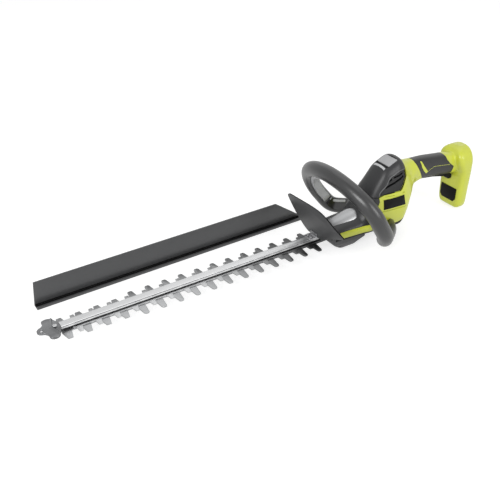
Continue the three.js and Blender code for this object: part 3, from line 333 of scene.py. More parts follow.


# The bar's metal carries painted shade towards the body.
bar_satin = metal_finish("bar_satin", (0.58, 0.585, 0.59), roughness=0.48, smear=0.05, line=0.2,
                         bump=0.1, painted_shade=0.55, reach=0.13)
# A paler copy of the bar's metal as a painted highlight, and two dark finishes as painted shade
# and painted shadow.
bar_painted_highlight = metal_finish("bar_painted_highlight", (0.74, 0.743, 0.746), roughness=0.5, smear=0.05,
                        painted_shade=0.45, reach=0.2)
painted_groove_shade = metal_finish("painted_groove_shade", (0.05, 0.05, 0.052), roughness=0.55)
painted_gap_shadow = metal_finish("painted_gap_shadow", (0.02, 0.02, 0.021), roughness=0.6)
bar = eased("guide_bar", "frame", "bar_aluminium", bar_satin, width=0.35)
bar_foot = min(v.co.z for v in bar.data.vertices) / MM
bar_side = max(v.co.y for v in bar.data.vertices) / MM
bar_end = max(v.co.x for v in bar.data.vertices) / MM
strip_start = 60
strip_proud = 0.12
strip_depth = 0.38


# A strip let into one side of the bar, between two heights over the bar's foot.
def bar_strip(name, sign, low, high, material):
    inner = sign * (bar_side - strip_depth)
    outer = sign * (bar_side + strip_proud)
    edge = ((inner, bar_foot + low), (outer, bar_foot + low), (outer, bar_foot + high),
            (inner, bar_foot + high))
    strip = skinned(name, [[(x, y, z) for y, z in edge] for x in (strip_start, bar_end)])
    finish_form(strip, material, "frame", "dark_steel")


# Each side gets painted groove shade, a paler band as painted highlight, and painted shadow in
# the gap over the blades.
for sign, side in ((1, "left"), (-1, "right")):
    bar_strip(f"bar_groove_shade_{side}", sign, 5.9, 6.9, painted_groove_shade)
    bar_strip(f"bar_highlight_band_{side}", sign, 2.4, 5.9, bar_painted_highlight)
    bar_strip(f"bar_gap_shadow_{side}", sign, 0.1, 2.4, painted_gap_shadow)

# ---- Cutting blades and their bolts ------------------------------------------------------------
# Two combs stamped from spring steel lie face to face under the bar; their teeth are ground.
# Shouldered bolts through long holes hold them to the bar with room to slide.
# The blades carry strong painted shade on their teeth towards the body.
blade_ground = metal_finish("blade_ground", (0.46, 0.465, 0.47), roughness=0.4, smear=0.25,
                            line=0.3, bump=0.12, painted_shade=0.82, reach=0.42)
blade_lower = metal_finish("blade_lower", (0.36, 0.365, 0.37), roughness=0.42, smear=0.25,
                           line=0.3, bump=0.12, painted_shade=0.8, reach=0.42)
bolt_black = metal_finish("bolt_black", (0.18, 0.18, 0.185), roughness=0.4)
eased("upper_blade", "upper_cutter", "bright_steel", blade_ground, width=0.5)
eased("lower_blade", "lower_cutter", "bright_steel", blade_lower, width=0.5)
for number in range(1, 5):
    eased(f"blade_bolt_{number}", "frame", "dark_steel", bolt_black, width=0.4)

# ---- Nose guard --------------------------------------------------------------------------------
# A pressed steel plate bolted over the bar's tip: two round lobes, a hanging tab with a slot,
# and a fold pressed across it that keeps it stiff.
fold_place = 634
fold_lean = 0.32
fold_height = 2.4
fold_width = 1.9
fold_gap = 29.5
gap_ease = 6
plate_top = 40.3
rim_from = 17
rim_width = 12
rim_drop = 1.2


# A copy of a solid turned to a fine even skin, so that its corners can be rubbed down.
def rubbed(node, body, slot, material, voxel, rounds, shape=None):
    piece = welded(node, "_rubbed", whole_faces=False)
    worked(piece, "REMESH", mode="VOXEL", voxel_size=voxel * MM)
    if shape:
        for vertex in piece.data.vertices:
            vertex.co = shape(vertex.co)
    worked(piece, "SMOOTH", factor=0.5, iterations=rounds)
    bpy.ops.object.shade_smooth()
    fit(piece, material, body, slot, node)
    return piece


# Raises the fold across the plate, less on its underside, and turns its outer rims down.
def nose_fold(point):
    x, y, z = (value / MM for value in point)
    line = fold_place - abs(y) * fold_lean
    swell = fold_height * math.exp(-((x - line) / fold_width) ** 2)
    swell *= min(1, abs(fold_gap - abs(y)) / gap_ease)
    rim = rim_drop * max(0, (abs(y) - rim_from) / rim_width) ** 2
    return Vector((x, y, z + (swell if z > plate_top else swell * 0.5) - rim)) * MM


nose_steel = metal_finish("nose_steel", (0.16, 0.162, 0.166), roughness=0.24, smear=1.8, bump=0.1)
rubbed("nose_guard", "frame", "dark_steel", nose_steel, voxel=0.55, rounds=3, shape=nose_fold)
eased("nose_bolt", "frame", "bright_steel", blade_ground, width=0.5)

# ---- Gear case ---------------------------------------------------------------------------------
# The gear case is cast in two halves. The lower one is a bowl with the flat foot that the tool
# rests on; the upper one carries the boss that shows through the nose cover.

# Moulded plastic: a fine spark-eroded grain and slow cloudiness.
moulded, start, end = pattern_group("moulded_grain", {
    "Base": (0.5, 0.5, 0.5, 1), "Roughness": 0.45, "Cloud": 0.1, "Grain": 900.0})
clouds = noise_in(moulded, scale=14, detail=3)
specks = noise_in(moulded, scale=start.outputs["Grain"], detail=2)
cloudy = swayed(moulded, 1.0, clouds, start.outputs["Cloud"])
tint_base(moulded, start, end, swayed(moulded, cloudy, specks, 0.16))
dulled = swayed(moulded, start.outputs["Roughness"], clouds, 0.22)
moulded.links.new(dulled, end.inputs["Roughness"])
moulded.links.new(specks, end.inputs["Height"])


def moulded_finish(name, colour, roughness, cloud=0.12, grain=900, bump=0.12, coat=0.0,
                   level=0.5, metallic=0.0):
    material, shader = patterned(name, moulded, bump, {
        "Base": (*colour, 1), "Roughness": roughness, "Cloud": cloud, "Grain": grain})
    shader.inputs["Coat Weight"].default_value = coat
    shader.inputs["Specular IOR Level"].default_value = level
    shader.inputs["Metallic"].default_value = metallic
    return material


def dress(material, *names):
    for name in names:
        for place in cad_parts[name].material_slots:
            place.material = material


# A smooth curve through a run of points of any dimension, as a flexible batten lies over pins.
def battened(points, closed, steps):
    count = len(points)
    spans = count if closed else count - 1
    total = round(spans * steps)
    run = []
    for k in range(total + (0 if closed else 1)):
        place = spans * k / total
        index = min(int(place), spans - 1)
        share = place - index
        if closed:
            four = [points[(index + j) % count] for j in (-1, 0, 1, 2)]
        else:
            four = [points[min(max(index + j, 0), count - 1)] for j in (-1, 0, 1, 2)]
            if index == 0:
                four[0] = [2 * a - b for a, b in zip(four[1], four[2])]
            if index == spans - 1:
                four[3] = [2 * b - a for a, b in zip(four[1], four[2])]
        gaps = [sum((a - b) ** 2 for a, b in zip(four[j], four[j + 1])) for j in range(3)]
        knots = [max(gap ** 0.25, 1e-6) for gap in gaps]
        first = knots[0] + knots[1]
        last = knots[1] + knots[2]
        spot = []
        for p0, p1, p2, p3 in zip(*four):
            lead = (p1 - p0) / knots[0] - (p2 - p0) / first + (p2 - p1) / knots[1]
            trail = (p2 - p1) / knots[1] - (p3 - p1) / last + (p3 - p2) / knots[2]
            lead *= knots[1]
            trail *= knots[1]
            spot.append(p1 + lead * share + (3 * (p2 - p1) - 2 * lead - trail) * share ** 2
                        + (2 * (p1 - p2) + lead + trail) * share ** 3)
        run.append(spot)
    return run


def both_sides(half):
    return half + [(-w, h) for w, h in reversed(half)]


# Each of these works one form with another, which is used up.
def combine(piece, tool, operation):
    pick(piece)
    worked(piece, "BOOLEAN", operation=operation, object=tool, solver="MANIFOLD")
    bpy.data.objects.remove(tool)


def cut_away(piece, tool):
    combine(piece, tool, "DIFFERENCE")


def cut_to(piece, tool):
    combine(piece, tool, "INTERSECT")


def join_on(piece, tool):
    combine(piece, tool, "UNION")


# The boss: a long drum under the nose cover that ends in a blunt cone. Its stages give the place
# along, the radius and the height of the top.
def boss_form(name, grow):
    stages = ((41 + grow * 12, 18, 62), (33, 19, 65), (-14, 21, 74.8), (-20, 20.4, 75.6),
              (-25, 16, 75.6), (-44.5, 5, 69.5))
    rings = []
    for x, radius, top in battened(stages, closed=False, steps=5):
        half = [(radius * 0.98 + grow, 42), (radius + grow, (37 + top) / 2),
                (radius * 0.9 + grow, top - radius * 0.5 + grow),
                (radius * 0.55, top - radius * 0.14 + grow), (radius * 0.18, top + grow)]
        ring = battened(both_sides(half), closed=True, steps=4)
        rings.append([(x - grow, y, z) for y, z in ring])
    return skinned(name, rings)


charcoal_case = moulded_finish("charcoal_case", (0.07, 0.071, 0.073), roughness=0.5, level=0.45)
boss_silver = moulded_finish("boss_silver", (0.38, 0.384, 0.39), roughness=0.3, cloud=0.15,
                             grain=1600, bump=0.05, metallic=0.4)
rubbed("gear_case_bottom", "frame", "charcoal_plastic", charcoal_case, voxel=0.9, rounds=7)
case_top = rubbed("gear_case_top", "frame", "cast_metal", boss_silver, voxel=0.8, rounds=4)
boss = boss_form("boss", grow=0)
boss.data.transform(Matrix.Scale(MM, 4))
join_on(case_top, boss)
bpy.ops.object.shade_smooth_by_angle(angle=math.radians(38))
screw_zinc = metal_finish("screw_zinc", (0.5, 0.5, 0.5), roughness=0.3)
dress(screw_zinc, *[f"gear_case_screw_{n}" for n in range(1, 5)], "bar_pin")
dress(blade_ground, "crank_axle", "idler_axle", "gear_plate")

# ---- Gears and motor ---------------------------------------------------------------------------
# Inside, a hobbed steel gear pair drives the crank; the can motor is wound with copper and has a
# moulded fan on its shaft.
gear_steel = metal_finish("gear_steel", (0.42, 0.41, 0.39), roughness=0.38, smear=0.4, bump=0.08)
can_steel = metal_finish("can_steel", (0.33, 0.335, 0.34), roughness=0.42, smear=0.25, line=0.2,
                         bump=0.08)
winding_copper = metal_finish("winding_copper", (0.62, 0.3, 0.12), roughness=0.38, smear=0.3,
                              line=0.5, bump=0.2)
fan_white = moulded_finish("fan_white", (0.2, 0.2, 0.2), roughness=0.5)
dress(gear_steel, "crank_gear", "idler_gear", "rotor")
dress(can_steel, "motor_can", "motor_end_plate", "motor_bearing_lower", "motor_bearing_upper")
dress(winding_copper, "motor_stator")
dress(fan_white, "motor_fan")

# ---- Nose cover --------------------------------------------------------------------------------
# The body is moulded as one flowing form and parted: this charcoal cover over the gears, another
# over the motor, and lime shells left and right, with fine gaps where they meet. The nose cover
# is grained nylon, split round the boss.
grip_place = -213
grip_middle = 125
grip_slope = 0.13


# Grip: the height of its middle, which falls towards the foot, and its section there.
def grip_height(x):
    return grip_middle + (x - grip_place) * grip_slope


def grip_section(x):
    middle = grip_height(x)
    return (x, (9.9, middle - 23), (15.8, middle - 16.6), (18, middle), (15.8, middle + 16.6),
            (9, middle + 23))


# Sections along the body, in millimetres: the distance along, then half widths and heights from
# the keel to the crown.
body_sections = [
    (41, (25, 30), (33, 33), (33, 51.5), (23, 58), (10, 60)),
    (9, (26, 29), (34, 33), (34, 51.5), (25, 60), (10, 64)),
    (-19, (27, 28), (35, 33), (36, 52.5), (28, 61), (12, 69)),
    (-29, (27, 27), (36, 33), (37, 54), (31, 68), (14, 80)),
    (-39, (28, 26), (38, 34), (39, 60), (33, 80), (17, 97)),
    (-55, (28, 25), (39, 35), (41, 72), (34, 98), (18, 117)),
    (-71, (28, 24), (40, 35), (42, 84), (34, 113), (18, 137)),
    (-87, (28, 23), (40, 36), (43, 92), (34, 126), (19, 156)),
    (-103, (28, 22), (40, 36), (43, 100), (35, 135), (20, 163.5)),
    (-119, (28, 21), (40, 36), (43, 105), (35, 141), (19, 170)),
    (-129, (28, 21), (40, 37), (42, 106), (33, 142), (18, 168.5)),
    (-139, (27, 31), (38, 46), (40, 100), (31, 136), (15, 158)),
    (-149, (24, 50), (33, 62), (37, 95), (28, 130), (14, 153.5)),
    (-157, (20, 68), (27, 78), (32, 94), (25, 127), (13, 151.5)),
    (-163, (15, 82), (21, 90), (27, 100), (23, 128), (12, 150.5)),
    (-172, (12, 92), (18, 99), (22, 114), (20, 134), (11, 150)),
    (-185, (10.8, 99), (17, 107), (19, 122), (17, 139), (9.9, 149.5)),
    grip_section(-209), grip_section(-253), grip_section(-305),
]


# The body's form over a span of its sections, held in from its surface by an inset.
def body_form(name, inset, span=(0, None)):
    flat = [[s[0]] + [value for pair in s[1:] for value in pair]
            for s in body_sections[slice(*span)]]
    rings = []
    for x, *values in battened(flat, closed=False, steps=4):
        half = list(zip(values[::2], values[1::2]))
        low = half[0][1]
        high = half[-1][1]
        left = [(w - inset, low + inset + (h - low) * (high - low - 2 * inset) / (high - low))
                for w, h in half]
        ring = battened(both_sides(left), closed=True, steps=4)
        rings.append([(x, y, z) for y, z in ring])
    return skinned(name, rings)


# A flat-sided block cut to an outline in side view: right through the body, or on one side.
def side_block(outline, half=60):
    return skinned("side_block", [[(x, y, z) for x, z in outline] for y in (-half, half)])


def flank_block(outline, side, near, far=60):
    widths = sorted((side * near, side * far))
    return skinned("flank_block", [[(x, y, z) for x, z in outline] for y in widths])


charcoal_body = moulded_finish("charcoal_body", (0.023, 0.0234, 0.0247), roughness=0.36,
                               level=0.42)
nose_span = (0, 8)
nose_sunk = 0.3
nose_inner = 2.4
boss_gap = 0.6
nose = body_form("nose_cover_skin", nose_sunk, nose_span)
nose_outline = [(60, 51.7), (-38.8, 51.7), (-62.8, 97), (-62.8, 104.6), (60, 104.6)]
cut_to(nose, side_block(nose_outline))
cut_away(nose, boss_form("boss_room", boss_gap))
cut_away(nose, body_form("nose_inside", nose_inner, nose_span))
finish_form(nose, charcoal_body, "frame", "charcoal_plastic", "nose_cover")

# ---- Motor cover -------------------------------------------------------------------------------
# Charcoal nylon with a flat deck on top for the plate, two air slots across the front of the
# deck, and flanks sunk behind an S-shaped rib that hold the cooling louvres. The rib is coloured
# paler as a painted highlight, and black strips of painted shadow fill the seams between the
# cover and the shells.
cover_span = (4, 14)
flank_span = (3, 15)
seam_span = (3, 16)
deck_place = -89
deck_middle = 158.2
deck_climb = 12.2
deck_run = 29
deck_front = -88.6
deck_rear = -118.4
deck_sunk = 0.1
air_slots = (-95, -92.2)
air_slot_half = 1.1
air_slot_deep = 8
air_slot_reach = 18
flank_deep = 3.2
panel_deep = 2.4
panel_near = 22
louvre_near = 24
over_top = 190


# The deck climbs towards the rear.
def deck_height(x):
    return deck_middle - (x - deck_place) * deck_climb / deck_run


vent_dark = moulded_finish("vent_dark", (0.017, 0.0172, 0.018), roughness=0.45, level=0.25)
rib_painted_highlight = moulded_finish("rib_painted_highlight", (0.13, 0.131, 0.134), roughness=0.38, level=0.4)
black_trim = moulded_finish("black_trim", (0.008, 0.0082, 0.0085), roughness=0.5, cloud=0.1,
                            grain=1100, level=0.08)
cover = body_form("motor_cover_skin", 0, cover_span)
cover_outline = [(40, 105.2), (-63, 105.2), (-74, 109.2), (-99, 110.7), (-115.2, 110.8),
                 (-120.2, 116.2), (-128.2, 128.7), (-135.2, 137.2), (-137, over_top),
                 (40, over_top)]
cut_to(cover, side_block(cover_outline))
deck_room = [(x, deck_height(x) + deck_sunk) for x in (deck_front, deck_rear)]
cut_away(cover, side_block(deck_room + [(deck_rear, 200), (deck_front, 200)]))
for x in air_slots:
    front = x + air_slot_half
    rear = x - air_slot_half
    slot_floor = deck_height(x) - air_slot_deep
    air_slot = [(front, slot_floor), (rear, slot_floor), (rear, over_top), (front, over_top)]
    cut_away(cover, side_block(air_slot, half=air_slot_reach))

# The flanks are sunk behind the S-shaped edge, and a dark panel lies in each.
s_pins = [(-134, 151.5), (-122, 152.3), (-113, 150.6), (-102.6, 146.1), (-96, 143.4),
          (-91.7, 140.6), (-87.6, 134.8), (-83.4, 128.4), (-79, 124.2), (-74.1, 120.4),
          (-69.5, 116.4), (-66, 112.6), (-64, 108.4)]
s_edge = battened(s_pins, closed=False, steps=3)
flank = side_block(s_edge + [(-64, 104), (-118, 104), (-140, 130), (-140, 151)])
cut_away(flank, body_form("flank_floor", flank_deep, flank_span))
cut_away(cover, flank)
panel = body_form("vent_panel", panel_deep, flank_span)
cut_to(panel, side_block(s_edge + [
    (-66, 107), (-74, 111), (-99, 112.4), (-114, 112.5), (-119, 118), (-127, 130),
    (-133.5, 138.5), (-133.5, 149)]))
louvres = (((-87, 130), (-97.5, 135.8), 3.2), ((-102, 137.6), (-125, 143.2), 3.2),
           ((-80.5, 119.5), (-126, 136.5), 4.2))
for (x0, z0), (x1, z1), tall in louvres:
    louvre = [(x0, z0), (x1, z1), (x1, z1 + tall), (x0, z0 + tall)]
    for side in (-1, 1):
        cut_away(cover, flank_block(louvre, side, louvre_near))
        cut_away(panel, flank_block(louvre, side, louvre_near))
whole_body = [(80, -5), (80, 200), (-360, 200), (-360, -5)]
for side, label in ((-1, "right"), (1, "left")):
    flank_panel = copied(panel, f"vent_panel_{label}")
    cut_to(flank_panel, flank_block(whole_body, side, panel_near))
    finish_form(flank_panel, vent_dark, "frame", "charcoal_plastic")
bpy.data.objects.remove(panel)

# The rib stands on the S-shaped edge, coloured paler than the cover as a painted highlight along
# that edge; the black strips of painted shadow in the seams lie a little sunk.
rib_along = 1.0
rib_across = 1.3
rib_proud = 0.3
seam_shadow_sunk = 0.9
groove_deep = 1.6
insert_deep = 1.7
rib_line = s_edge + [(x + rib_along, z + rib_across) for x, z in reversed(s_edge)]
seams = ([(-30, 104.4), (-66, 104.4), (-66, 106.2), (-30, 106.2)],
         [(-66, 104.6), (-73.4, 108.2), (-99, 110), (-99, 112), (-74.5, 110.4), (-66, 107)],
         [(-115.4, 109.6), (-120.6, 115.4), (-128.8, 128), (-136, 137), (-138, over_top),
          (-135.6, over_top), (-134.2, 138.2), (-127.2, 129.6), (-119, 117), (-113.6, 111.4)])
# The rib's colour is a painted highlight, and the black strips in the seams are painted shadow.
inserts = [("s_rib_0", rib_line, -rib_proud, rib_painted_highlight, "charcoal_plastic")]
inserts += [(f"seam_shadow_{number}", seam, seam_shadow_sunk, black_trim, "black_plastic")
            for number, seam in enumerate(seams, 1)]
for name, outline, inset, material, slot in inserts:
    groove = side_block(outline)
    cut_away(groove, body_form("seam_floor", groove_deep, seam_span))
    cut_away(cover, groove)
    insert = body_form(name, inset, seam_span)
    cut_to(insert, side_block(outline))
    cut_away(insert, body_form("insert_floor", insert_deep, seam_span))
    finish_form(insert, material, "frame", slot, angle=50)
finish_form(cover, charcoal_body, "frame", "charcoal_plastic", "motor_cover")

# ---- Top plate and lip -------------------------------------------------------------------------
# A satin silver-grey plate is let into the deck over the motor, and a brighter silver lip, also
# moulded, crosses the cover in front of the air slots.
lip_silver = moulded_finish("lip_silver", (0.62, 0.625, 0.635), roughness=0.34, cloud=0.1,
                            grain=1300, bump=0.05)
plate_grey = moulded_finish("plate_grey", (0.42, 0.423, 0.43), roughness=0.4, grain=1300,
                            bump=0.06)
eased("cover_top_plate", "frame", "pale_grey", plate_grey, width=0.8, segments=3)
lip_front = -84.9
lip_rear = -88.2
lip_proud = 0.5
lip_deep = 1.5
lip_reach = 16
lip = body_form("cover_lip", -lip_proud, cover_span)
lip_line = [(lip_front, 120), (lip_rear, 120), (lip_rear, over_top), (lip_front, over_top)]
cut_to(lip, side_block(lip_line, half=lip_reach))
cut_away(lip, body_form("lip_floor", lip_deep, cover_span))
finish_form(lip, lip_silver, "frame", "pale_grey", angle=60)

# ---- Lime shells -------------------------------------------------------------------------------
# Glossy lime plastic, moulded as a left and a right half and screwed together. They leave room
# for the covers, the keel and the grip, and swell at the rear into a domed foot that holds the
# battery's socket.
lime_gloss = moulded_finish("lime_gloss", (0.63, 0.68, 0.06), roughness=0.32, cloud=0.1,
                            grain=1500, bump=0.03, coat=0.25)
front_shell = body_form("lime_front", 0)
keel_line = [(60, 51.5), (34.2, 51.5), (25.8, 37.6), (-39, 35.4), (-87, 35.2), (-118, 35.6),
             (-130, 39), (-138, 45), (-143, 50.5), (-152, 48), (-152, 10), (60, 10)]
cover_line = [(60, 51.5), (-39, 51.5), (-63, 97), (-63, 105), (-74, 109), (-99, 110.5),
              (-115, 110.6), (-120, 116), (-128, 128.5), (-135, 137), (-137, over_top),
              (60, over_top)]
grip_line = [(-174.7, 170), (-174.7, 149), (-208.7, 89.7), (-330, 70), (-330, 190)]
for outline in (keel_line, cover_line, grip_line):
    cut_away(front_shell, side_block(outline))
gear_opening = [(46, 0), (-56, 0), (-56, 40), (46, 40)]
gear_opening_half = 30
cut_away(front_shell, side_block(gear_opening, gear_opening_half))

# Fine grooves above and below the side plates, and a notch at their rear corner.
plate_span = (4, 16)
plate_groove_deep = 2.2
for outline in ([(-68, 74.2), (-134, 70.8), (-134, 72.4), (-68, 75.8)],
                [(-76, 105), (-98, 104.6), (-98, 106.6), (-76, 107)],
                [(-119, 104.2), (-126, 104.8), (-124.5, 107.4), (-119.5, 106.6)]):
    groove = side_block(outline)
    cut_away(groove, body_form("groove_floor", plate_groove_deep, plate_span))
    cut_away(front_shell, groove)

# The foot's levels: height, how much narrower than its widest, and how far its front swells.
foot_levels = [(4, 10, -2), (11, 5, -1), (56, 2, 0), (92, 0, 0), (106, 0, 6), (118, 0, 11),
               (128, 2, 13), (137, 6, 12), (144, 12, 8), (148.5, 19, 2), (151, 27, -5)]
foot_rear = -338
foot_front = -308
foot_half = 36
foot_corner = 11
corner_steps = 6
foot_voxel = 1.15
foot_rubs = 26
neck_span = (16, None)
shell_gap = 0.12


def foot_ring(z, narrow, swell):
    x0 = foot_rear + (narrow / 6 if z > 110 else 0)
    x1 = foot_front + swell
    half = foot_half - narrow
    corner = min(foot_corner, foot_corner - narrow / 4)
    ring = []
    for cx, cy, quarter in ((x1 - corner, half - corner, 0), (x0 + corner, half - corner, 1),
                            (x0 + corner, corner - half, 2), (x1 - corner, corner - half, 3)):
        for k in range(corner_steps + 1):
            angle = (quarter + k / corner_steps) * math.pi / 2
            ring.append((cx + corner * math.cos(angle), cy + corner * math.sin(angle), z))
    return ring


foot = skinned("lime_foot", [foot_ring(*level)
                             for level in battened(foot_levels, closed=False, steps=4)])
neck = body_form("lime_neck", 0, neck_span)
cut_to(neck, side_block([(-262, 60), (-262, 190), (-330, 190), (-330, 60)]))
join_on(foot, neck)
pick(foot)
worked(foot, "REMESH", mode="VOXEL", voxel_size=foot_voxel)
worked(foot, "SMOOTH", factor=0.5, iterations=foot_rubs)
sleeve_seat = [(-174.7, 170), (-174.7, 149), (-208.7, 89.7), (-285.3, 79.7), (-292.3, 112),
               (-279.3, 122.2), (-270.3, 132.2), (-267.3, 142), (-267.3, 170)]
cut_away(foot, side_block(sleeve_seat))
socket_pocket = [(-350, 86), (-312, 86), (-312, 134), (-350, 134)]
cut_away(foot, side_block(socket_pocket, half=22))
battery_rest = [(-350, 14), (-329, 14), (-329, 78), (-350, 78)]
cut_away(foot, side_block(battery_rest, half=29))

for side, label in ((1, "left"), (-1, "right")):
    halves = []
    for form in (front_shell, foot):
        half = copied(form, "lime_half")
        cut_to(half, flank_block(whole_body, side, shell_gap, far=70))
        halves.append(half)
    bpy.ops.object.select_all(action="DESELECT")
    for half in halves:
        half.select_set(True)
    bpy.context.view_layer.objects.active = halves[0]
    bpy.ops.object.join()
    halves[0].name = f"lime_shell_{label}"
    finish_form(halves[0], lime_gloss, "frame", "lime_shell", f"housing_{label}")
bpy.data.objects.remove(front_shell)
bpy.data.objects.remove(foot)
dress(screw_zinc, *[f"housing_screw_{n}" for n in range(1, 5)])

# ---- Keel strip and bare plates ----------------------------------------------------------------
# A black strip closes the underside round the gear case. Blank black plates are set in the
# shells' sides and in the foot.
keel_span = (0, 14)
keel_sunk = 0.1
keel = body_form("keel_strip", keel_sunk, keel_span)
cut_to(keel, side_block(keel_line))
cut_away(keel, side_block(gear_opening, gear_opening_half))
finish_form(keel, black_trim, "frame", "black_plastic")
eased("side_plate_left", "frame", "black_plastic", black_trim, width=0.7)
eased("side_plate_right", "frame", "black_plastic", black_trim, width=0.7)
eased("foot_plate", "frame", "black_plastic", black_trim, width=0.3)

# ---- Rear grip ---------------------------------------------------------------------------------
# A soft charcoal sleeve moulded over the neck, with a lime blade and a thin lime line let into
# each side of it and a slot below for the trigger.
grip_soft = moulded_finish("grip_soft", (0.013, 0.0133, 0.0139), roughness=0.38, cloud=0.14,
                           grain=1000, bump=0.3, level=0.45)
sleeve_span = (13, None)
inlay_span = (14, None)
inlay_deep = 1.0
inlay_near = 3
trigger_half = 6.1
sleeve = body_form("grip_sleeve_skin", 0, sleeve_span)
sleeve_outline = [(-175, 170), (-175, 149), (-209, 90), (-285, 80), (-292, 112), (-279, 122),
                  (-270, 132), (-267, 142), (-267, 170)]
cut_to(sleeve, side_block(sleeve_outline))
trigger_slot = [(-306, 60), (-196, 60), (-196, 110), (-306, 110)]
cut_away(sleeve, side_block(trigger_slot, trigger_half))
finish_form(sleeve, grip_soft, "frame", "soft_grip", "grip_sleeve")
wedge = [(-190.5, 147), (-193.5, 147), (-199, 137), (-212.6, 119.8), (-208, 116.2),
         (-200.5, 124), (-193.5, 134)]
thread_run = [(-212, 119.2), (-223, 124.6), (-230, 126.9), (-249, 124.6), (-279, 119.4)]
thread_half = 0.35
thread = [(x, z + thread_half) for x, z in thread_run]
thread += [(x, z - thread_half) for x, z in reversed(thread_run)]
for name, outline, proud in (("wedge", wedge, 0.35), ("thread", thread, 0.15)):
    for side, label in ((1, "left"), (-1, "right")):
        inlay = body_form(f"grip_{name}_{label}", -proud, inlay_span)
        cut_to(inlay, flank_block(outline, side, inlay_near))
        cut_away(inlay, body_form("inlay_floor", inlay_deep, sleeve_span))
        finish_form(inlay, lime_gloss, "frame", "lime_shell", angle=50)

# ---- Control board, socket and terminals -------------------------------------------------------
# A lacquered board sits behind the motor; the black socket in the foot takes the battery's stem
# and carries three contact blades.
board_lacquer = moulded_finish("board_lacquer", (0.03, 0.15, 0.06), roughness=0.3, cloud=0.3,
                               grain=300, bump=0.1, coat=0.4)
dress(board_lacquer, "control_board")
dress(winding_copper, "terminal_block")
eased("battery_socket", "frame", "black_plastic", black_trim, width=0.4)

# ---- Trigger and switches ----------------------------------------------------------------------
# The long black trigger hangs from a steel pin at the front of the grip, and a coil spring at
# its tail returns it. It works a boxed switch, as the bar in the front handle does.
spring_wire = metal_finish("spring_wire", (0.55, 0.55, 0.55), roughness=0.3, smear=0.1)
eased("rear_trigger", "trigger", "black_plastic", black_trim, width=1.4, segments=3)
dress(spring_wire, "trigger_spring", "trigger_pin", "front_lever_spring")
dress(black_trim, "rear_switch", "front_switch")

# ---- Front handle ------------------------------------------------------------------------------
# A leaning loop of soft grey plastic in a front and a rear half, screwed to the body at its feet.
# A pale switch bar lines the inside of the loop, and pressing it anywhere moves it outwards.
handle_grey = moulded_finish("handle_grey", (0.014, 0.0142, 0.0148), roughness=0.32, cloud=0.08,
                             grain=1000, bump=0.18, level=0.75)
lever_pale = moulded_finish("lever_pale", (0.43, 0.435, 0.445), roughness=0.32, cloud=0.08,
                            grain=1400, bump=0.05)
lean = 0.56
loop_base = Vector((-29, 0, 45.5))
tube_radius = 16.5
tube_facets = 40
tube_flat = 5.5
flat_from = 0.16
flat_ease = 0.03
lever_first = 0.165
lever_last = 0.835
lever_ease = 0.014
room_first = 0.153
room_last = 0.847
look_ahead = 0.004
seat_gap = 0.3
seam_half = 0.1


def loop_x(z):
    return loop_base.x + lean * (z - loop_base.z)


left_side = [(-97, 27, 34), (-74, 59, 40), (-38, 88, 44), (loop_x(65) - 3, 105.5, 65),
             (loop_x(90), 110, 90), (loop_x(117), 106.5, 117), (loop_x(143), 88, 143),
             (loop_x(163), 50, 163)]
right_side = [(x, -y, z) for x, y, z in reversed(left_side)]
loop_path = battened(left_side + [(loop_x(171), 0, 171)] + right_side, closed=False, steps=12)
loop_normal = Vector((1, 0, -lean)).normalized()
reached = [0.0]
for a, b in zip(loop_path, loop_path[1:]):
    reached.append(reached[-1] + (Vector(b) - Vector(a)).length)


# The place at a share of the loop's length, counted from its left foot.
def on_loop(share):
    goal = share * reached[-1]
    index = max(i for i in range(len(reached) - 1) if reached[i] <= goal + 1e-9)
    part = (goal - reached[index]) / (reached[index + 1] - reached[index])
    return Vector(loop_path[index]).lerp(Vector(loop_path[index + 1]), part)


# Rings along a stretch of the loop, each a section of places inward and forward of its middle.
def along_loop(first, last, steps, section):
    rings = []
    for k in range(steps + 1):
        share = first + (last - first) * k / steps
        spot = on_loop(share)
        ahead = on_loop(min(share + look_ahead, 1))
        run = (ahead - on_loop(max(share - look_ahead, 0))).normalized()
        inward = loop_normal.cross(run).normalized()
        forward = run.cross(inward)
        rings.append([spot + inward * u + forward * v for u, v in section(share)])
    return rings


# The tube is round, but below the lever's ends its inner side is planed flat.
def tube_section(share):
    low = min(1, max(0.0, (flat_from - min(share, 1 - share)) / flat_ease))
    cap = tube_radius - tube_flat * low
    turns = ((i + 0.5) / tube_facets * math.tau for i in range(tube_facets))
    return [(min(cap, tube_radius * math.cos(a)), tube_radius * math.sin(a)) for a in turns]


# The lever is a shallow channel with raised rims, rounded down at its two ends.
def bar_section(share, out=10.6, inner=20.4, half=8.5):
    ends = min(share - lever_first, lever_last - share)
    taper = min(1, max(0.0, ends / lever_ease)) ** 0.5
    inner = out + (inner - out) * (0.55 + 0.45 * taper)
    side = [(out, half), (inner - 1.3, half), (inner - 0.4, half - 0.4), (inner, half - 1.2),
            (inner - 0.1, half - 1.9), (inner - 1.1, half - 2.9)]
    return side + [(u, -v) for u, v in reversed(side)]


# The slot that the lever moves in, and the thin pale trims below its two ends.
def room_section(share, out=5.9, inner=28, half=9.6):
    return [(out, -half), (inner, -half), (inner, half), (out, half)]


def trim_section(share):
    return [(9, -3.6), (12.4, -3.6), (13, -4.4), (13, -8.2), (12.4, -9.2), (9, -9.2)]


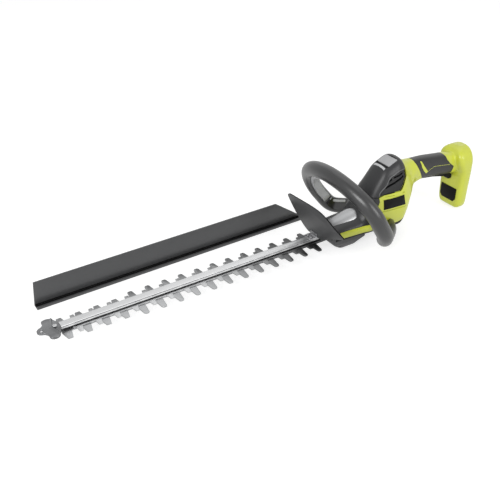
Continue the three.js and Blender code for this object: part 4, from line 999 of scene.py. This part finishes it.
tube = skinned("front_handle_tube", along_loop(0, 1, 170, tube_section))
cut_away(tube, skinned("lever_room", along_loop(room_first, room_last, 90, room_section)))
cut_away(tube, body_form("body_seat", -seat_gap))
arm_flat = [(-150, 0), (-4, 0), (-4, 22.5), (-150, 22.5)]
cut_away(tube, side_block(arm_flat))
for sign, label in ((1, "front"), (-1, "rear")):
    half = copied(tube, f"front_handle_{label}_skin")
    pick(half)
    bpy.ops.object.mode_set(mode="EDIT")
    bpy.ops.mesh.select_all(action="SELECT")
    seam = loop_base + loop_normal * sign * seam_half
    bpy.ops.mesh.bisect(plane_co=seam, plane_no=loop_normal, use_fill=True,
                        clear_inner=sign > 0, clear_outer=sign < 0)
    bpy.ops.object.mode_set(mode="OBJECT")
    finish_form(half, handle_grey, "frame", "handle_grey", f"front_handle_{label}")
bpy.data.objects.remove(tube)
arm_trims = ((0.09, 0.157), (0.843, 0.91))
for number, (first, last) in enumerate(arm_trims, 1):
    trim = skinned(f"arm_trim_{number}", along_loop(first, last, 12, trim_section))
    finish_form(trim, lever_pale, "frame", "pale_grey")
lever = skinned("front_switch_bar", along_loop(lever_first, lever_last, 120, bar_section))
finish_form(lever, lever_pale, "front_lever", "pale_grey", "front_switch_lever", angle=35)
dress(screw_zinc, "arm_screw_left", "arm_screw_right")

# ---- Hand guard --------------------------------------------------------------------------------
# A tough charcoal plate across the bar, wider on the left, bolted down through a small bracket.
# Its edges are coloured black as painted shade, darker than its faces.
guard_grey = moulded_finish("guard_grey", (0.07, 0.071, 0.072), roughness=0.38, grain=900,
                            bump=0.15)
bracket_steel = metal_finish("bracket_steel", (0.42, 0.42, 0.43), roughness=0.34, smear=0.25)
guard = eased("hand_guard", "frame", "charcoal_plastic", guard_grey, width=1.1, segments=3)
guard.data.materials.append(black_trim)
guard_foot = 45
# Edge faces above the guard's foot take the black trim as painted shade.
for face in guard.data.polygons:
    edge_on = abs(face.normal.x) < 0.75 and face.normal.z > -0.5
    if edge_on and face.center.z > guard_foot * MM:
        face.material_index = 1
eased("guard_bracket", "frame", "bright_steel", bracket_steel, width=0.4)
eased("guard_bolt_1", "frame", "bright_steel", bracket_steel, width=0.5)
eased("guard_bolt_2", "frame", "bright_steel", bracket_steel, width=0.5)

# ---- Debris sweep ------------------------------------------------------------------------------
# An extruded charcoal channel that clips along the bar and carries the clippings off the hedge.
# Here it stands beside the tool on its lower flange. The inside of the channel is coloured black
# as painted shade.
sweep_charcoal = moulded_finish("sweep_charcoal", (0.06, 0.061, 0.063), roughness=0.4,
                                cloud=0.18, grain=800, bump=0.1)
sweep = eased("debris_sweep", "sweep", "charcoal_plastic", sweep_charcoal, width=0.5)
sweep.data.materials.append(black_trim)
channel_low, channel_lip, channel_high = 2, 3.9, 6.2
# Faces inside the channel take the black trim as painted shade.
for face in sweep.data.polygons:
    height = face.center.z / MM
    inside = face.normal.y < 0.6 or height > channel_lip
    if channel_low < height < channel_high and face.normal.z > -0.5 and inside:
        face.material_index = 1
